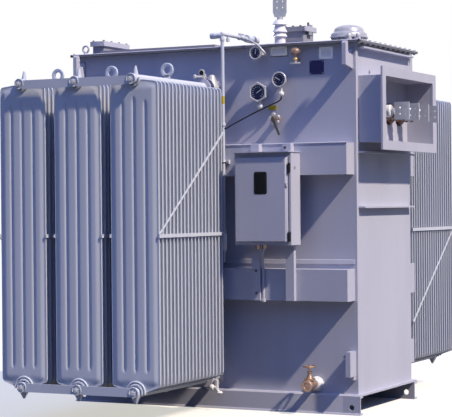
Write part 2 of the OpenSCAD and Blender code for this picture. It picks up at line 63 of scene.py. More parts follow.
def photo_camera():
    """Camera looking YAW to the left of +Y and TILT up, rolled by ROLL about its own axis."""
    data = bpy.data.cameras.new("photo_camera")
    data.sensor_width = SENSOR_W
    data.sensor_fit = "HORIZONTAL"
    data.lens = FOCAL_PX * SENSOR_W / IMAGE_W
    data.clip_end = FAR_CLIP
    cam = bpy.data.objects.new("photo_camera", data)
    turn = Matrix.Rotation(YAW, 4, "Z") @ Matrix.Rotation(math.pi / 2 + TILT, 4, "X")
    cam.matrix_world = Matrix.Translation(EYE) @ turn @ Matrix.Rotation(ROLL, 4, "Z")
    bpy.context.scene.collection.objects.link(cam)
    bpy.context.scene.camera = cam


photo_camera()


# Surfaces: a surface is a pair (points, list of face index arrays).
def join(*surfaces):
    """One surface from several: points are stacked and each face list is moved on by the points before it."""
    points, faces, start = [], [], 0
    for part_points, part_faces in surfaces:
        points.append(part_points)
        faces += [f + start for f in part_faces]
        start += len(part_points)
    return np.concatenate(points), faces


def grid(points, round_u=False, round_v=False):
    """Quads over an array of points [u, v, xyz]; a round direction joins its last line to its first."""
    nu, nv = points.shape[:2]
    index = np.arange(nu * nv).reshape(nu, nv)
    if round_u:
        index = np.vstack([index, index[:1]])
    if round_v:
        index = np.hstack([index, index[:, :1]])
    quads = np.stack([index[:-1, :-1], index[1:, :-1], index[1:, 1:], index[:-1, 1:]], -1)
    return points.reshape(-1, 3), [quads.reshape(-1, 4)]


def across(axes):
    """Two unit vectors square to each axis, and the axis made a unit vector, for placing round shapes."""
    axes = np.atleast_2d(np.asarray(axes, float))
    axes = axes / np.linalg.norm(axes, axis=1, keepdims=True)
    helper = np.where(np.abs(axes[:, 2:3]) > 0.9, [RIGHT], [UP])
    a = np.cross(helper, axes)
    a /= np.linalg.norm(a, axis=1, keepdims=True)
    return a, np.cross(axes, a), axes


def circle_of(centre, axis, radius, n, turn=0.0):
    """n points spaced evenly on a circle about the axis."""
    a, b, _ = (v[0] for v in across(axis))
    t = np.linspace(0, 2 * math.pi, n, endpoint=False) + turn
    return np.asarray(centre, float) + radius * (np.cos(t)[:, None] * a + np.sin(t)[:, None] * b)


def lathe(profile, centre=(0, 0, 0), axis=UP, sides=40, turn=0.0):
    """A profile of (radius, height) turned about the axis through the centre, in equal steps of angle.

    A profile that doesn't end where it starts is closed by a line to the axis at both its ends.
    """
    profile = np.asarray(profile, float)
    if not np.allclose(profile[0], profile[-1]):
        profile = np.vstack([profile[0] * (0, 1), profile, profile[-1] * (0, 1)])
    along = across(axis)[2][0]
    spokes = circle_of((0, 0, 0), axis, 1.0, sides, turn)
    points = np.asarray(centre, float) + profile[:, None, :1] * spokes[None] + profile[:, None, 1:] * along
    return grid(points, round_v=True)


def rod(p, q, r, sides=16, chamfer=1.0):
    """A round bar from p to q, chamfered at both ends: a four-point profile turned about the line p-q."""
    p, q = np.asarray(p, float), np.asarray(q, float)
    n = np.linalg.norm(q - p)
    return lathe([(r - chamfer, 0), (r, chamfer), (r, n - chamfer), (r - chamfer, n)], p, q - p, sides)


def ring(centre, axis, radius, r, sides=32, small=12):
    """A torus: a circle of radius r carried round a circle of the larger radius about the axis."""
    t = np.linspace(0, 2 * math.pi, small + 1)
    return lathe(np.column_stack([radius + r * np.cos(t), r * np.sin(t)]), centre, axis, sides)


def again(faces, points_each, count):
    """The faces of a shape for each of its copies, whose points follow each other."""
    step = (np.arange(count) * points_each)[:, None, None]
    return [(f[None] + step).reshape(-1, f.shape[1]) for f in faces]


def copies(shape, places, axes):
    """The same small shape, made along +Z at the origin, set at each place with its Z along each axis."""
    points, faces = shape
    places = np.atleast_2d(np.asarray(places, float))
    turns = np.stack(across(np.broadcast_to(np.asarray(axes, float), places.shape)), 1)
    placed = np.einsum("ij,njk->nik", points, turns) + places[:, None, :]
    return placed.reshape(-1, 3), again(faces, len(points), len(places))


def shifted(shape, offsets):
    """The same shape repeated at each offset, unturned."""
    points, faces = shape
    offsets = np.atleast_2d(np.asarray(offsets, float))
    return (points[None] + offsets[:, None]).reshape(-1, 3), again(faces, len(points), len(offsets))


def turned(shape, angles):
    """The shape repeated, each copy turned about the Z axis by one angle."""
    points, faces = shape
    c, s, o = np.cos(angles), np.sin(angles), np.zeros(len(angles))
    turns = np.stack([np.stack([c, s, o], -1), np.stack([-s, c, o], -1), np.stack([o, o, o + 1], -1)], 1)
    return np.einsum("ij,njk->nik", points, turns).reshape(-1, 3), again(faces, len(points), len(angles))


def half_turn(shape):
    """The shape turned half round the upright axis through the middle of the tank."""
    points, faces = shape
    return points * (-1.0, -1.0, 1.0), faces


def both_sides(*shapes):
    """The shapes joined, and the same on the opposite side of the tank."""
    shape = join(*shapes)
    return join(shape, half_turn(shape))


def tube(path, radius, sides=12, aside=(0.0, 0.8, 0.6)):
    """A circle carried along a path of points, square to the local direction, with the ends closed."""
    path = np.asarray(path, float)
    along = np.gradient(path, axis=0)
    along /= np.linalg.norm(along, axis=1, keepdims=True)
    a = np.cross(along, aside)
    a /= np.linalg.norm(a, axis=1, keepdims=True)
    b = np.cross(along, a)
    t = np.linspace(0, 2 * math.pi, sides, endpoint=False)
    spokes = np.cos(t)[None, :, None] * a[:, None] + np.sin(t)[None, :, None] * b[:, None]
    first, last = (np.repeat(path[k][None, None], sides, 1) for k in (0, -1))
    return grid(np.concatenate([first, path[:, None] + radius * spokes, last]), round_v=True)


def smooth_path(points, n=60):
    """A Catmull-Rom curve through the points, sampled evenly in its own parameter."""
    p = np.asarray(points, float)
    p = np.vstack([2 * p[0] - p[1], p, 2 * p[-1] - p[-2]])
    u = np.linspace(0, len(points) - 1, n)
    i = np.minimum(u.astype(int), len(points) - 2)
    t = (u - i)[:, None]
    a, b, c, d = p[i], p[i + 1], p[i + 2], p[i + 3]
    square, cube = 2 * a - 5 * b + 4 * c - d, 3 * b - a - 3 * c + d
    return 0.5 * (2 * b + (c - a) * t + square * t ** 2 + cube * t ** 3)


def rounded(w, h, r, n=4):
    """Outline of a w by h rectangle with corners of radius r, counter-clockwise about the origin."""
    t = np.linspace(0, math.pi / 2, n)
    quarter = np.arange(4)[:, None] * math.pi / 2 + t[None]
    corner = np.array([[1, 1], [-1, 1], [-1, -1], [1, -1]]) * (w / 2 - r, h / 2 - r)
    return (corner[:, None] + r * np.stack([np.cos(quarter), np.sin(quarter)], -1)).reshape(-1, 2)


def loft(*steps):
    """A skin over outlines with as many points each, given as pairs (outline, height)."""
    levels = [np.column_stack([outline, np.full(len(outline), float(z))]) for outline, z in steps]
    return grid(np.stack(levels), round_v=True)


def slab(outline, depth, edge=1.0):
    """A flat outline raised along +Z with chamfered rims: carried up in four steps, closed at both ends."""
    outline = np.asarray(outline, float)
    mid = (outline.max(0) + outline.min(0)) / 2
    size = np.maximum(np.abs(outline - mid).max(0), 1e-6)
    small = mid + (outline - mid) * np.maximum(1 - edge / size, 0.0)
    centre = np.broadcast_to(mid, outline.shape)
    rim = depth - edge
    return loft((centre, 0), (small, 0), (outline, edge), (outline, rim), (small, depth), (centre, depth))


def face(shape, centre, right, up):
    """The shape laid on a plane from its centre: X along right, Y along up and Z out of the plane."""
    points, faces = shape
    right, up = np.asarray(right, float), np.asarray(up, float)
    return np.asarray(centre, float) + points @ np.stack([right, up, np.cross(right, up)]), faces


def box(x0, x1, y0, y1, z0, z1, r=2.0, edge=1.0):
    """A block between two corners with rounded upright edges and chamfered rims."""
    block = slab(rounded(x1 - x0, y1 - y0, r), z1 - z0, edge)
    return face(block, ((x0 + x1) / 2, (y0 + y1) / 2, z0), RIGHT, BACK)


def line_of(p, q, n):
    """n points spaced evenly from p to q, both ends kept."""
    p, q = np.asarray(p, float), np.asarray(q, float)
    return p + np.linspace(0, 1, n)[:, None] * (q - p)


def hex_bolt(r, h):
    """Bolt head on a washer along +Z: a low eight-sided disc under a six-sided head with a chamfer."""
    washer = lathe([(r * 1.3, 0), (r * 1.3, r * 0.18)], sides=8)
    head = lathe([(r, 0), (r, h * 0.86), (r * 0.84, h)], sides=6)
    return join(washer, head)


def put(name, surface, material, body="transformer", replaces=(), sharp=35.0):
    """A mesh object from a surface: doubles merged, faces turned outwards, edges over an angle kept sharp."""
    points, faces = surface
    mesh = bpy.data.meshes.new(name)
    loops = np.concatenate([f.ravel() for f in faces])
    sizes = np.concatenate([np.full(len(f), f.shape[1]) for f in faces])
    mesh.vertices.add(len(points))
    mesh.vertices.foreach_set("co", np.ascontiguousarray(points * MM, np.float32).ravel())
    mesh.loops.add(len(loops))
    mesh.loops.foreach_set("vertex_index", loops.astype(np.int32))
    mesh.polygons.add(len(sizes))
    mesh.polygons.foreach_set("loop_start", np.concatenate([[0], np.cumsum(sizes)[:-1]]).astype(np.int32))
    mesh.update(calc_edges=True)
    work = bmesh.new()
    work.from_mesh(mesh)
    bmesh.ops.remove_doubles(work, verts=work.verts, dist=2e-6)
    bmesh.ops.dissolve_degenerate(work, edges=work.edges, dist=1e-6)
    bmesh.ops.recalc_face_normals(work, faces=work.faces)
    work.to_mesh(mesh)
    work.free()
    mesh.polygons.foreach_set("use_smooth", np.ones(len(mesh.polygons), bool))
    mesh.set_sharp_from_angle(angle=math.radians(sharp))
    obj = bpy.data.objects.new(name, mesh)
    bpy.context.scene.collection.objects.link(obj)
    mesh.materials.append(material)
    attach(obj, body)
    if replaces:
        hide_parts(*replaces)
    return obj


# Finishes. Noise scales are per metre.
GRAIN, STREAK, STAIN, SPECK, DUST = 260.0, 7.0, 3.0, 90.0, 6.0
BUMP_DEPTH = 0.002


def grey(level):
    """A colour with the same value in all three channels."""
    return (level,) * 3


def darker(colour, share):
    """The colour with each channel cut to a share."""
    return tuple(share * c for c in colour)


def new_material(name):
    """An empty node material with one Principled shader."""
    mat = bpy.data.materials.new(name)
    mat.use_nodes = True
    tree = mat.node_tree
    tree.nodes.clear()
    out = tree.nodes.new("ShaderNodeOutputMaterial")
    bsdf = tree.nodes.new("ShaderNodeBsdfPrincipled")
    tree.links.new(bsdf.outputs["BSDF"], out.inputs["Surface"])
    return mat, tree, bsdf


def noise(tree, scale, detail=3.0, stretch=(1, 1, 1)):
    """The value of a noise on Object coordinates, stretched along the axes."""
    coord = tree.nodes.new("ShaderNodeTexCoord")
    mapping = tree.nodes.new("ShaderNodeMapping")
    mapping.inputs["Scale"].default_value = stretch
    tex = tree.nodes.new("ShaderNodeTexNoise")
    tex.inputs["Scale"].default_value = scale
    tex.inputs["Detail"].default_value = detail
    tree.links.new(coord.outputs["Object"], mapping.inputs["Vector"])
    tree.links.new(mapping.outputs["Vector"], tex.inputs["Vector"])
    return tex.outputs[0]


def ramp(tree, value, *stops):
    """Colours over a value between 0 and 1, from pairs (position, colour)."""
    node = tree.nodes.new("ShaderNodeValToRGB")
    elements = node.color_ramp.elements
    while len(elements) < len(stops):
        elements.new(1.0)
    for element, (position, colour) in zip(elements, stops):
        element.position = position
        element.color = (*colour, 1.0)
    tree.links.new(value, node.inputs["Fac"])
    return node.outputs["Color"]


def blend(tree, a, b, amount):
    """Two colours mixed, with the amount of the second from a socket."""
    mix = tree.nodes.new("ShaderNodeMix")
    mix.data_type = "RGBA"
    mix.blend_type = "MIX"
    tree.links.new(amount, mix.inputs[0])
    tree.links.new(a, mix.inputs[6])
    tree.links.new(b, mix.inputs[7])
    return mix.outputs[2]


def finish(name, colour, dark=0.9, rough=(0.35, 0.5), metal=0.0, scale=9.0, bump=0.05,
           stretch=(1, 1, 1), spec=0.5, specks=0.0, streaks=0.0):
    """A colour drifting to a darker tone, streaks down the surface, dust, drifting gloss and a fine bump."""
    mat, tree, bsdf = new_material(name)
    base = ramp(tree, noise(tree, scale, 4.0, stretch), (0.32, darker(colour, dark)), (0.62, colour))
    if streaks:
        runs = noise(tree, STREAK, 4.0, (1.0, 1.0, 0.05))
        amount = ramp(tree, runs, (0.5, grey(0.0)), (0.8, grey(streaks)))
        stain = ramp(tree, noise(tree, STAIN), (0.3, darker(colour, 0.72)), (0.7, darker(colour, 0.84)))
        base = blend(tree, base, stain, amount)
    if specks:
        amount = ramp(tree, noise(tree, SPECK, 2.0), (0.62, grey(0.0)), (0.78, grey(specks)))
        dust = ramp(tree, noise(tree, DUST), (0.3, darker(colour, 0.6)), (0.7, darker(colour, 0.7)))
        base = blend(tree, base, dust, amount)
    tree.links.new(base, bsdf.inputs["Base Color"])
    gloss = ramp(tree, noise(tree, scale * 3.1, 3.0, stretch), (0.3, grey(rough[0])), (0.7, grey(rough[1])))
    tree.links.new(gloss, bsdf.inputs["Roughness"])
    relief = tree.nodes.new("ShaderNodeBump")
    relief.inputs["Strength"].default_value = bump
    relief.inputs["Distance"].default_value = BUMP_DEPTH
    tree.links.new(noise(tree, GRAIN, 2.0), relief.inputs["Height"])
    tree.links.new(relief.outputs["Normal"], bsdf.inputs["Normal"])
    bsdf.inputs["Metallic"].default_value = metal
    bsdf.inputs["Specular IOR Level"].default_value = spec
    return mat


# The radiators' paint is a lighter copy of the tank's: painted light that brightens them.
PAINT, LIT_RADIATOR_PAINT = (0.485, 0.495, 0.59), (0.563, 0.599, 0.673)
BRUSHED = (0.1, 1, 1)
tank_paint = finish("tank_paint", PAINT, 0.93, (0.45, 0.58), scale=1.7, stretch=(1, 1, 0.4), spec=0.14,
                    specks=0.25, streaks=0.3)
# Painted light: the radiators' finish is built on the lighter copy of the tank paint.
radiator_paint = finish("radiator_paint", LIT_RADIATOR_PAINT, 0.92, (0.42, 0.55), scale=2.4, stretch=(1, 1, 0.25),
                        spec=0.14, specks=0.2, streaks=0.25)
# Painted shade on the cover top: a dark paint, with real dust specks, so that the top takes and throws back
# less of the key light.
cover_dust_and_shade_paint = finish("cover_dust_and_shade_paint", (0.18, 0.186, 0.215), 0.75, (0.55, 0.7), scale=3.0, spec=0.1,
                         specks=0.3)
# Painted shade: the tank paint cut to two thirds, on the access boxes and on the strip beside the cabinet
# door.
painted_shade_paint = finish("painted_shade_paint", darker(PAINT, 0.66), 0.9, (0.5, 0.62), scale=2.4, spec=0.12,
                      specks=0.3, streaks=0.3)
porcelain = finish("porcelain", (0.86, 0.85, 0.90), 0.92, (0.1, 0.18), scale=14.0, bump=0.01, spec=0.25)
brown_glaze = finish("brown_glaze", (0.16, 0.07, 0.035), 0.7, (0.12, 0.22), scale=22.0, bump=0.01, spec=0.3)
tinned_terminal = finish("tinned_terminal", (0.50, 0.52, 0.58), 0.88, (0.4, 0.5), metal=0.3, scale=30.0,
                         spec=0.3)
brass = finish("brass", (0.52, 0.38, 0.2), 0.65, (0.32, 0.48), metal=0.7, scale=40.0, specks=0.3)
bronze = finish("bronze", (0.40, 0.27, 0.21), 0.65, (0.38, 0.52), metal=0.6, scale=40.0, specks=0.3)
copper_cap = finish("copper_cap", (0.30, 0.21, 0.18), 0.65, (0.38, 0.52), metal=0.5, scale=40.0, specks=0.3)
polished_steel = finish("polished_steel", (0.43, 0.44, 0.54), 0.9, (0.26, 0.36), metal=0.35, scale=18.0,
                        bump=0.02)
gauge_black = finish("gauge_black", (0.010, 0.011, 0.016), 0.7, (0.3, 0.4), scale=30.0, bump=0.02, spec=0.15)
dial_blue = finish("dial_blue", (0.014, 0.022, 0.075), 0.7, (0.3, 0.4), scale=30.0, bump=0.02, spec=0.15)
gauge_silver = finish("gauge_silver", (0.56, 0.56, 0.60), 0.88, (0.34, 0.46), metal=0.2, scale=25.0,
                      bump=0.03, spec=0.3)
dial_white = finish("dial_white", (0.78, 0.78, 0.80), 0.94, (0.4, 0.5), scale=40.0, bump=0.02, spec=0.2)
cable_rubber = finish("cable_rubber", (0.014, 0.014, 0.018), 0.7, (0.5, 0.7), scale=60.0, spec=0.15)
bare_steel = finish("bare_steel", (0.34, 0.34, 0.37), 0.75, (0.4, 0.52), metal=0.6, scale=50.0, specks=0.3)
dark_steel = finish("dark_steel", (0.10, 0.095, 0.10), 0.7, (0.42, 0.55), metal=0.4, scale=50.0, spec=0.25,
                    specks=0.3)
plated_bolt = finish("plated_bolt", (0.48, 0.49, 0.55), 0.8, (0.4, 0.52), metal=0.35, scale=60.0, spec=0.3)
bare_plate = finish("bare_plate", (0.86, 0.87, 0.90), 0.94, (0.4, 0.52), metal=0.1, scale=35.0, bump=0.03,
                    stretch=BRUSHED, spec=0.25)
plate_field = finish("plate_field", (0.66, 0.70, 0.80), 0.90, (0.4, 0.52), metal=0.1, scale=35.0, bump=0.03,
                     stretch=BRUSHED, spec=0.25)
blue_plate = finish("blue_plate", (0.008, 0.010, 0.11), 0.8, (0.35, 0.45), scale=40.0, spec=0.2)
yellow_paint = finish("yellow_paint", (0.50, 0.40, 0.04), 0.75, (0.4, 0.55), scale=40.0, spec=0.2)
dark_glass = finish("dark_glass", (0.006, 0.007, 0.010), 0.6, (0.1, 0.18), scale=10.0, bump=0.0, spec=0.3)

# Solids that stay in view get the finish of their slot, the cover and the boxes on it one of their own:
# darker paints that are painted shade.
slots = {
    "tank_paint": tank_paint, "radiator_paint": radiator_paint, "porcelain": porcelain,
    "tinned_terminal": tinned_terminal, "brass": brass, "polished_steel": polished_steel,
    "gauge_black": gauge_black, "cable_rubber": cable_rubber, "bare_steel": bare_steel,
}
painted_shade_finish = {"tank_cover": cover_dust_and_shade_paint, "hand_holes": painted_shade_paint}
for part in frame["record"]["subparts"]:
    node = part["node"]
    nodes[node].data.materials.clear()
    nodes[node].data.materials.append(painted_shade_finish.get(node, slots[part["material_slot"]]))


# Radiator panels.
PANEL_HALF, PANEL_Z0, PANEL_Z1 = 185.0, 260.0, 2308.0
SHOULDER_R, LUG_HALF, GABLE_LOW, GABLE_UP = 34.0, 70.0, 32.0, 10.0
SEAM, CREST, SEAM_W = 3.5, 11.5, 22.0
RIM_THIN, RIM_BEAD, RIM_PEAK, RIM_W = 2.0, 5.0, 4.0, 10.0
CHAMBER_SPREAD, CHAMBER_STEP, CHAMBER_END, CHAMBER_FADE = 2.4, 9.0, 8.0, 60.0
FLUTES, FLUTE_MARGIN, CROWN = 4, 9.0, 0.22
FLUTE_W = 2 * (PANEL_HALF - FLUTE_MARGIN) / FLUTES
VALLEY_FLAT, VALLEY_SIDE, VALLEY_END, VALLEY_FADE, VALLEY_LEAN = 3.0, 9.0, 100.0, 35.0, 0.3
STACK_Y0, PANEL_PITCH, PANELS = 783.0, 51.0, 19
STACK_Y1 = STACK_Y0 + PANEL_PITCH * (PANELS - 1)
LAST_RAD_X, RAD_PITCH, RADIATORS = 20.0, 444.0, 3
RAD_X = LAST_RAD_X - RAD_PITCH * np.arange(RADIATORS)[::-1]
BY_RADIATOR = np.outer(RAD_X, RIGHT)


def ease(t):
    """A smooth step from 0 to 1."""
    t = np.clip(t, 0.0, 1.0)
    return t * t * (3 - 2 * t)


def panel_sheet(x, s):
    """One oil panel. Across it runs x, up it runs s from 0 to 1 between the lower and the upper edge.

    The edge is a rounded shoulder with a low gable in the middle and a rolled rim. Half the thickness is a
    thin welded seam, raised to the crest inside a chamber that widens from the header to the full width;
    three valleys between four flutes cut the crest again; at the top they start lower at the sides than in
    the middle.
    """
    ax = np.abs(x)
    gable = np.interp(ax, [0, LUG_HALF, PANEL_HALF - SHOULDER_R], [1.0, 1.0, 0.0])
    corner = np.maximum(ax - PANEL_HALF + SHOULDER_R, 0)
    drop = np.sqrt(np.maximum(SHOULDER_R ** 2 - corner ** 2, 0)) - SHOULDER_R
    top = PANEL_Z1 + GABLE_UP * gable + drop
    low = PANEL_Z0 - GABLE_LOW * gable - drop
    z = low + (top - low) * s[:, None]
    end = np.maximum(z, PANEL_Z0 + PANEL_Z1 - z)
    wide = np.clip(LUG_HALF + CHAMBER_SPREAD * (PANEL_Z1 - end), LUG_HALF, PANEL_HALF - SEAM_W)
    raised = ease((wide - ax) / CHAMBER_STEP) * ease((PANEL_Z1 + GABLE_UP - CHAMBER_END - end) / CHAMBER_FADE)
    near = np.abs(ax[:, None] - np.array([0.0, FLUTE_W])).min(1)
    valley = 1 - ease((near - VALLEY_FLAT) / VALLEY_SIDE)
    lean = np.where(z > (PANEL_Z0 + PANEL_Z1) / 2, VALLEY_LEAN, 0.0)
    deep = ease((PANEL_Z1 - VALLEY_END - lean * ax - end) / VALLEY_FADE)
    crown = 1 - CROWN * ((near - FLUTE_W / 2) / (FLUTE_W / 2)) ** 2
    half = SEAM + (CREST - SEAM) * raised * (1 - valley * deep) * (1 - (1 - crown) * deep)
    rim = np.minimum(PANEL_HALF - ax[None], np.minimum(z - low, top - z))
    half = np.where(rim < RIM_W, np.interp(rim, [0.0, RIM_PEAK, RIM_W], [RIM_THIN, RIM_BEAD, SEAM]), half)
    xs = np.broadcast_to(x, z.shape)
    front = np.stack([xs, -half, z], -1)
    back = np.stack([xs, half, z], -1)[:, ::-1]
    shell = np.concatenate([front, back], 1)
    rims = shell[[0, -1]] * (1, 0, 1)
    return grid(np.concatenate([rims[:1], shell, rims[1:]]), round_v=True)


# Lines of a panel's net: from an end, from the start of a flute and, on a plain panel, from the middle.
FULL_H = PANEL_Z1 - PANEL_Z0 + GABLE_UP + GABLE_LOW
END_STEPS = np.array([0, 4, 10, 16, 28, 40, 52, 62, 72, 82, 92, 102, 112, 122, 134, 148, 165, 190])
PLAIN_END_STEPS = END_STEPS[[0, 1, 3, 6, 9, 12, 15, 17]]
FLUTE_STEPS = np.array([0, 2, 4, 8, 12, 24, 44, 64, 76, 80, 84])
VALLEY_W = VALLEY_FLAT + VALLEY_SIDE
PLAIN_HALF = np.array([VALLEY_FLAT, VALLEY_W, FLUTE_W - VALLEY_W, FLUTE_W - VALLEY_FLAT,
                       FLUTE_W + VALLEY_FLAT, FLUTE_W + VALLEY_W, PANEL_HALF - SEAM_W - RIM_W,
                       PANEL_HALF - SEAM_W, PANEL_HALF - RIM_W, PANEL_HALF - RIM_PEAK, PANEL_HALF])


def both_ends(steps):
    """Shares of the panel's height from steps at the lower end, and the same at the upper end."""
    shares = steps / FULL_H
    return np.concatenate([shares, 1 - shares[::-1]])


left_rim = [-PANEL_HALF, RIM_PEAK - PANEL_HALF, RIM_W - PANEL_HALF]
right_rim = [FLUTE_W * FLUTES / 2, PANEL_HALF - RIM_PEAK, PANEL_HALF]
flute_lines = [FLUTE_W * (k - FLUTES / 2) + FLUTE_STEPS for k in range(FLUTES)]
outer_panel = panel_sheet(np.concatenate([left_rim, *flute_lines, right_rim]), both_ends(END_STEPS))
inner_panel = panel_sheet(np.concatenate([-PLAIN_HALF[::-1], [0.0], PLAIN_HALF]), both_ends(PLAIN_END_STEPS))


def stack_of(x):
    """A row of panels along Y: the first and the last in full detail, the ones between plainer."""
    places = np.outer(STACK_Y0 + PANEL_PITCH * np.arange(PANELS), FRONT) + (x, 0, 0)
    return join(shifted(outer_panel, places[[0, -1]]), shifted(inner_panel, places[1:-1]))


for k, rad_x in enumerate(RAD_X, 1):
    stack = stack_of(rad_x)
    for side, panels in (("front", stack), ("back", half_turn(stack))):
        put(f"{side}_radiator_{k}", panels, radiator_paint,
            replaces=(f"{side}_panels_{k}",))

# Header ends: drip cones and pressed arcs on the outer panels, and rims on the end discs.
HEAD_R, HEAD_LOW, HEAD_HIGH, HEAD_Y0, HEAD_Y1 = 34.0, 232.0, 2321.0, 720.0, 1737.0
CONE_Y, DISC_RIM_Y, DISC_FACE_Y = STACK_Y1 + 12, HEAD_Y1 + 8, HEAD_Y1 + 18
DRIP_CONE = [(8, -78), (12, -68), (34, -28), (36, -20), (36, 0)]
head_ends = np.array([(x, 0.0, z) for x in RAD_X for z in (HEAD_LOW, HEAD_HIGH)])


def pressed_arc(z, radius, r, start, stop, n=30):
    """A round bead on an outer panel: a circle of radius r carried along part of a circle about a header."""
    t = np.radians(np.linspace(start, stop, n))
    path = np.column_stack([radius * np.cos(t), np.full(n, -STACK_Y1 - CREST), z + radius * np.sin(t)])
    return tube(path, r, 10, FRONT)


drip_cones = shifted(lathe(DRIP_CONE, (0, -CONE_Y, HEAD_LOW), UP, 28), BY_RADIATOR)
arcs = join(pressed_arc(HEAD_LOW, 70, 8, -8, 188), pressed_arc(HEAD_LOW, 50, 10, -20, 200),
            pressed_arc(HEAD_HIGH, 46, 8, 170, 370))
disc_rims = shifted(ring((0, 0, 0), FRONT, HEAD_R, 4.0, 32, 8), head_ends - (0, DISC_RIM_Y, 0))
put("header_drip_cones", both_sides(drip_cones), radiator_paint)
put("header_arcs", both_sides(shifted(arcs, BY_RADIATOR)), radiator_paint)
put("header_disc_rims", both_sides(disc_rims), radiator_paint)

# Header bolts: three rings of them on each header's flanges, and one large one on each end disc.
FLANGE_FACES = ((14 - HEAD_Y0, BACK), (62 - HEAD_Y0, FRONT), (-HY - 14, FRONT))
FLANGE_BOLT_R, FLANGE_BOLTS, FLANGE_TURN = 53.0, 8, 0.39
flange_bolt = hex_bolt(9.0, 9.0)
flange_bolts = [
    copies(flange_bolt, circle_of((x, y, z), axis, FLANGE_BOLT_R, FLANGE_BOLTS, FLANGE_TURN), axis)
    for x, _, z in head_ends for y, axis in FLANGE_FACES
]
disc_bolts = copies(hex_bolt(15.0, 10.0), head_ends - (0, DISC_FACE_Y, 0), FRONT)
put("radiator_flange_bolts", both_sides(*flange_bolts, disc_bolts), plated_bolt)

# Upper header valves: a cone at the wall, a bonnet and a long handle each, and a knob on a post at the last.
VALVE_Y, WALL_CONE_Y = HEAD_Y0 - 38.0, HY + 42
UPPER_VALVE, LOWER_VALVE = np.array([0.0, -VALVE_Y, HEAD_HIGH]), np.array([0.0, -VALVE_Y, HEAD_LOW])
KNOB = UPPER_VALVE + (0, -46, 106)
WALL_CONE = [(54, 0), (54, 12), (46, 20), (22, 92), (16, 100), (0, 102)]
BONNET = [(26, 30), (30, 40), (30, 52), (20, 60), (12, 66), (12, 88)]
GRIP = [(0, 0), (11, 3), (15, 12), (11, 21), (0, 24)]
KNOB_CAP = [(16, -4), (18, 2), (14, 9), (0, 12)]
upper_valve = join(lathe(WALL_CONE, (0, -WALL_CONE_Y, HEAD_HIGH), UP, 28), lathe(BONNET, UPPER_VALVE, UP, 24),
                   rod(UPPER_VALVE + (0, 20, 78), UPPER_VALVE + (0, -150, 72), 8, 12),
                   lathe(GRIP, UPPER_VALVE + (0, -140, 72), FRONT, 20))
knob_post = join(ring(KNOB, FRONT, 20, 5, 24, 8), rod(UPPER_VALVE + (0, -6, 60), KNOB - (0, 0, 14), 11, 14),
                 rod(KNOB, UPPER_VALVE + (0, 10, 88), 10, 14))
upper_valves = join(shifted(upper_valve, BY_RADIATOR), shifted(knob_post, BY_RADIATOR[-1]))
put("radiator_valve_handles", both_sides(upper_valves), gauge_silver)

# Lower header valves: a stem to the side, a flat bar and a knob on a short pin.
LOW_STEM = [(14, 0), (14, 24), (24, 34), (24, 50), (14, 60), (14, 76)]
LOW_KNOB = [(0, -15), (15, -12), (23, 0), (15, 12), (0, 15)]
lower_valve = join(lathe(LOW_STEM, LOWER_VALVE - (0, 0, 68), RIGHT, 20),
                   box(65, 88, -VALVE_Y - 8, 8 - VALVE_Y, HEAD_LOW - 88, HEAD_LOW - 10, 4, 2),
                   rod(LOWER_VALVE + (76, 0, -80), LOWER_VALVE + (98, 0, -104), 9, 12),
                   lathe(LOW_KNOB, LOWER_VALVE + (100, 0, -105), UP, 20))
put("lower_valve_handles", both_sides(shifted(lower_valve, BY_RADIATOR)), dial_white)
valve_knob = lathe(KNOB_CAP, KNOB + BY_RADIATOR[-1], FRONT, 24)
put("radiator_valve_knobs", both_sides(valve_knob), cable_rubber)

# Lifting eyes: flat rings on the headers and one round ring on the cover, each on a foot.
RING_Y, RING_Z = (STACK_Y0 + STACK_Y1) / 2, HEAD_HIGH + HEAD_R + 56
FLAT_RING = [(24, -6), (28, -8), (46, -8), (50, -5), (50, 5), (46, 8), (28, 8), (24, 6), (24, -6)]
COVER_EYE = (58 - HX, -HY - 5, COVER_Z + 44)
EYE_FOOT = [(18, 0), (18, 10), (12, 16), (9, 22)]
header_ring = join(lathe(FLAT_RING, (0, -RING_Y, RING_Z), FRONT, 40),
                   box(-24, 24, -RING_Y - 8, 8 - RING_Y, RING_Z - 66, RING_Z - 34, 5, 2))
put("header_lifting_rings", both_sides(shifted(header_ring, BY_RADIATOR)), radiator_paint,
    replaces=("header_eyes",))
cover_ring = join(ring(COVER_EYE, FRONT, 25, 7.5, 36, 12), lathe(EYE_FOOT, (*COVER_EYE[:2], COVER_Z), UP, 24))
put("cover_lifting_eye", cover_ring, tank_paint, replaces=("cover_eye",))

# Cover: a bead along each edge, and bolts along both ends with their nuts under the overhang.
COVER_X, COVER_Y, BEAD_R, BEAD_Z = HX + 52, HY + 52, 9.0, COVER_Z - 4
BOLT_ROW_X, BOLT_ROW_Y, BOLT_ROW = HX + 36, HY + 20, 12
long_edge = rod((-COVER_X, BEAD_R - COVER_Y, BEAD_Z), (COVER_X, BEAD_R - COVER_Y, BEAD_Z), BEAD_R, 16)
short_edge = rod((COVER_X - BEAD_R, -COVER_Y, BEAD_Z), (COVER_X - BEAD_R, COVER_Y, BEAD_Z), BEAD_R, 16)
put("cover_edge_beads", both_sides(long_edge, short_edge), tank_paint)
bolt_row = line_of((BOLT_ROW_X, -BOLT_ROW_Y, COVER_Z), (BOLT_ROW_X, BOLT_ROW_Y, COVER_Z), BOLT_ROW)
heads = copies(hex_bolt(12.0, 13.0), bolt_row, UP)
nuts = copies(hex_bolt(11.0, 9.0), bolt_row - (0, 0, COVER_Z - TANK_TOP), DOWN)
put("cover_edge_bolts", both_sides(heads, nuts), plated_bolt)

# Front skid: the flat side of the channel faces outwards, with a pulling hole near each end.
SKID_X, SKID_H, SKID_Y0, SKID_Y1 = 1160.0, 130.0, -565.0, -515.0
PULL_X, PULL_Z, PULL_R = 1094.0, 52.0, 20.0
WEB_T, FLANGE_T, END_X = 10.0, 12.0, 1028.0
WEB_Y = SKID_Y0 + WEB_T


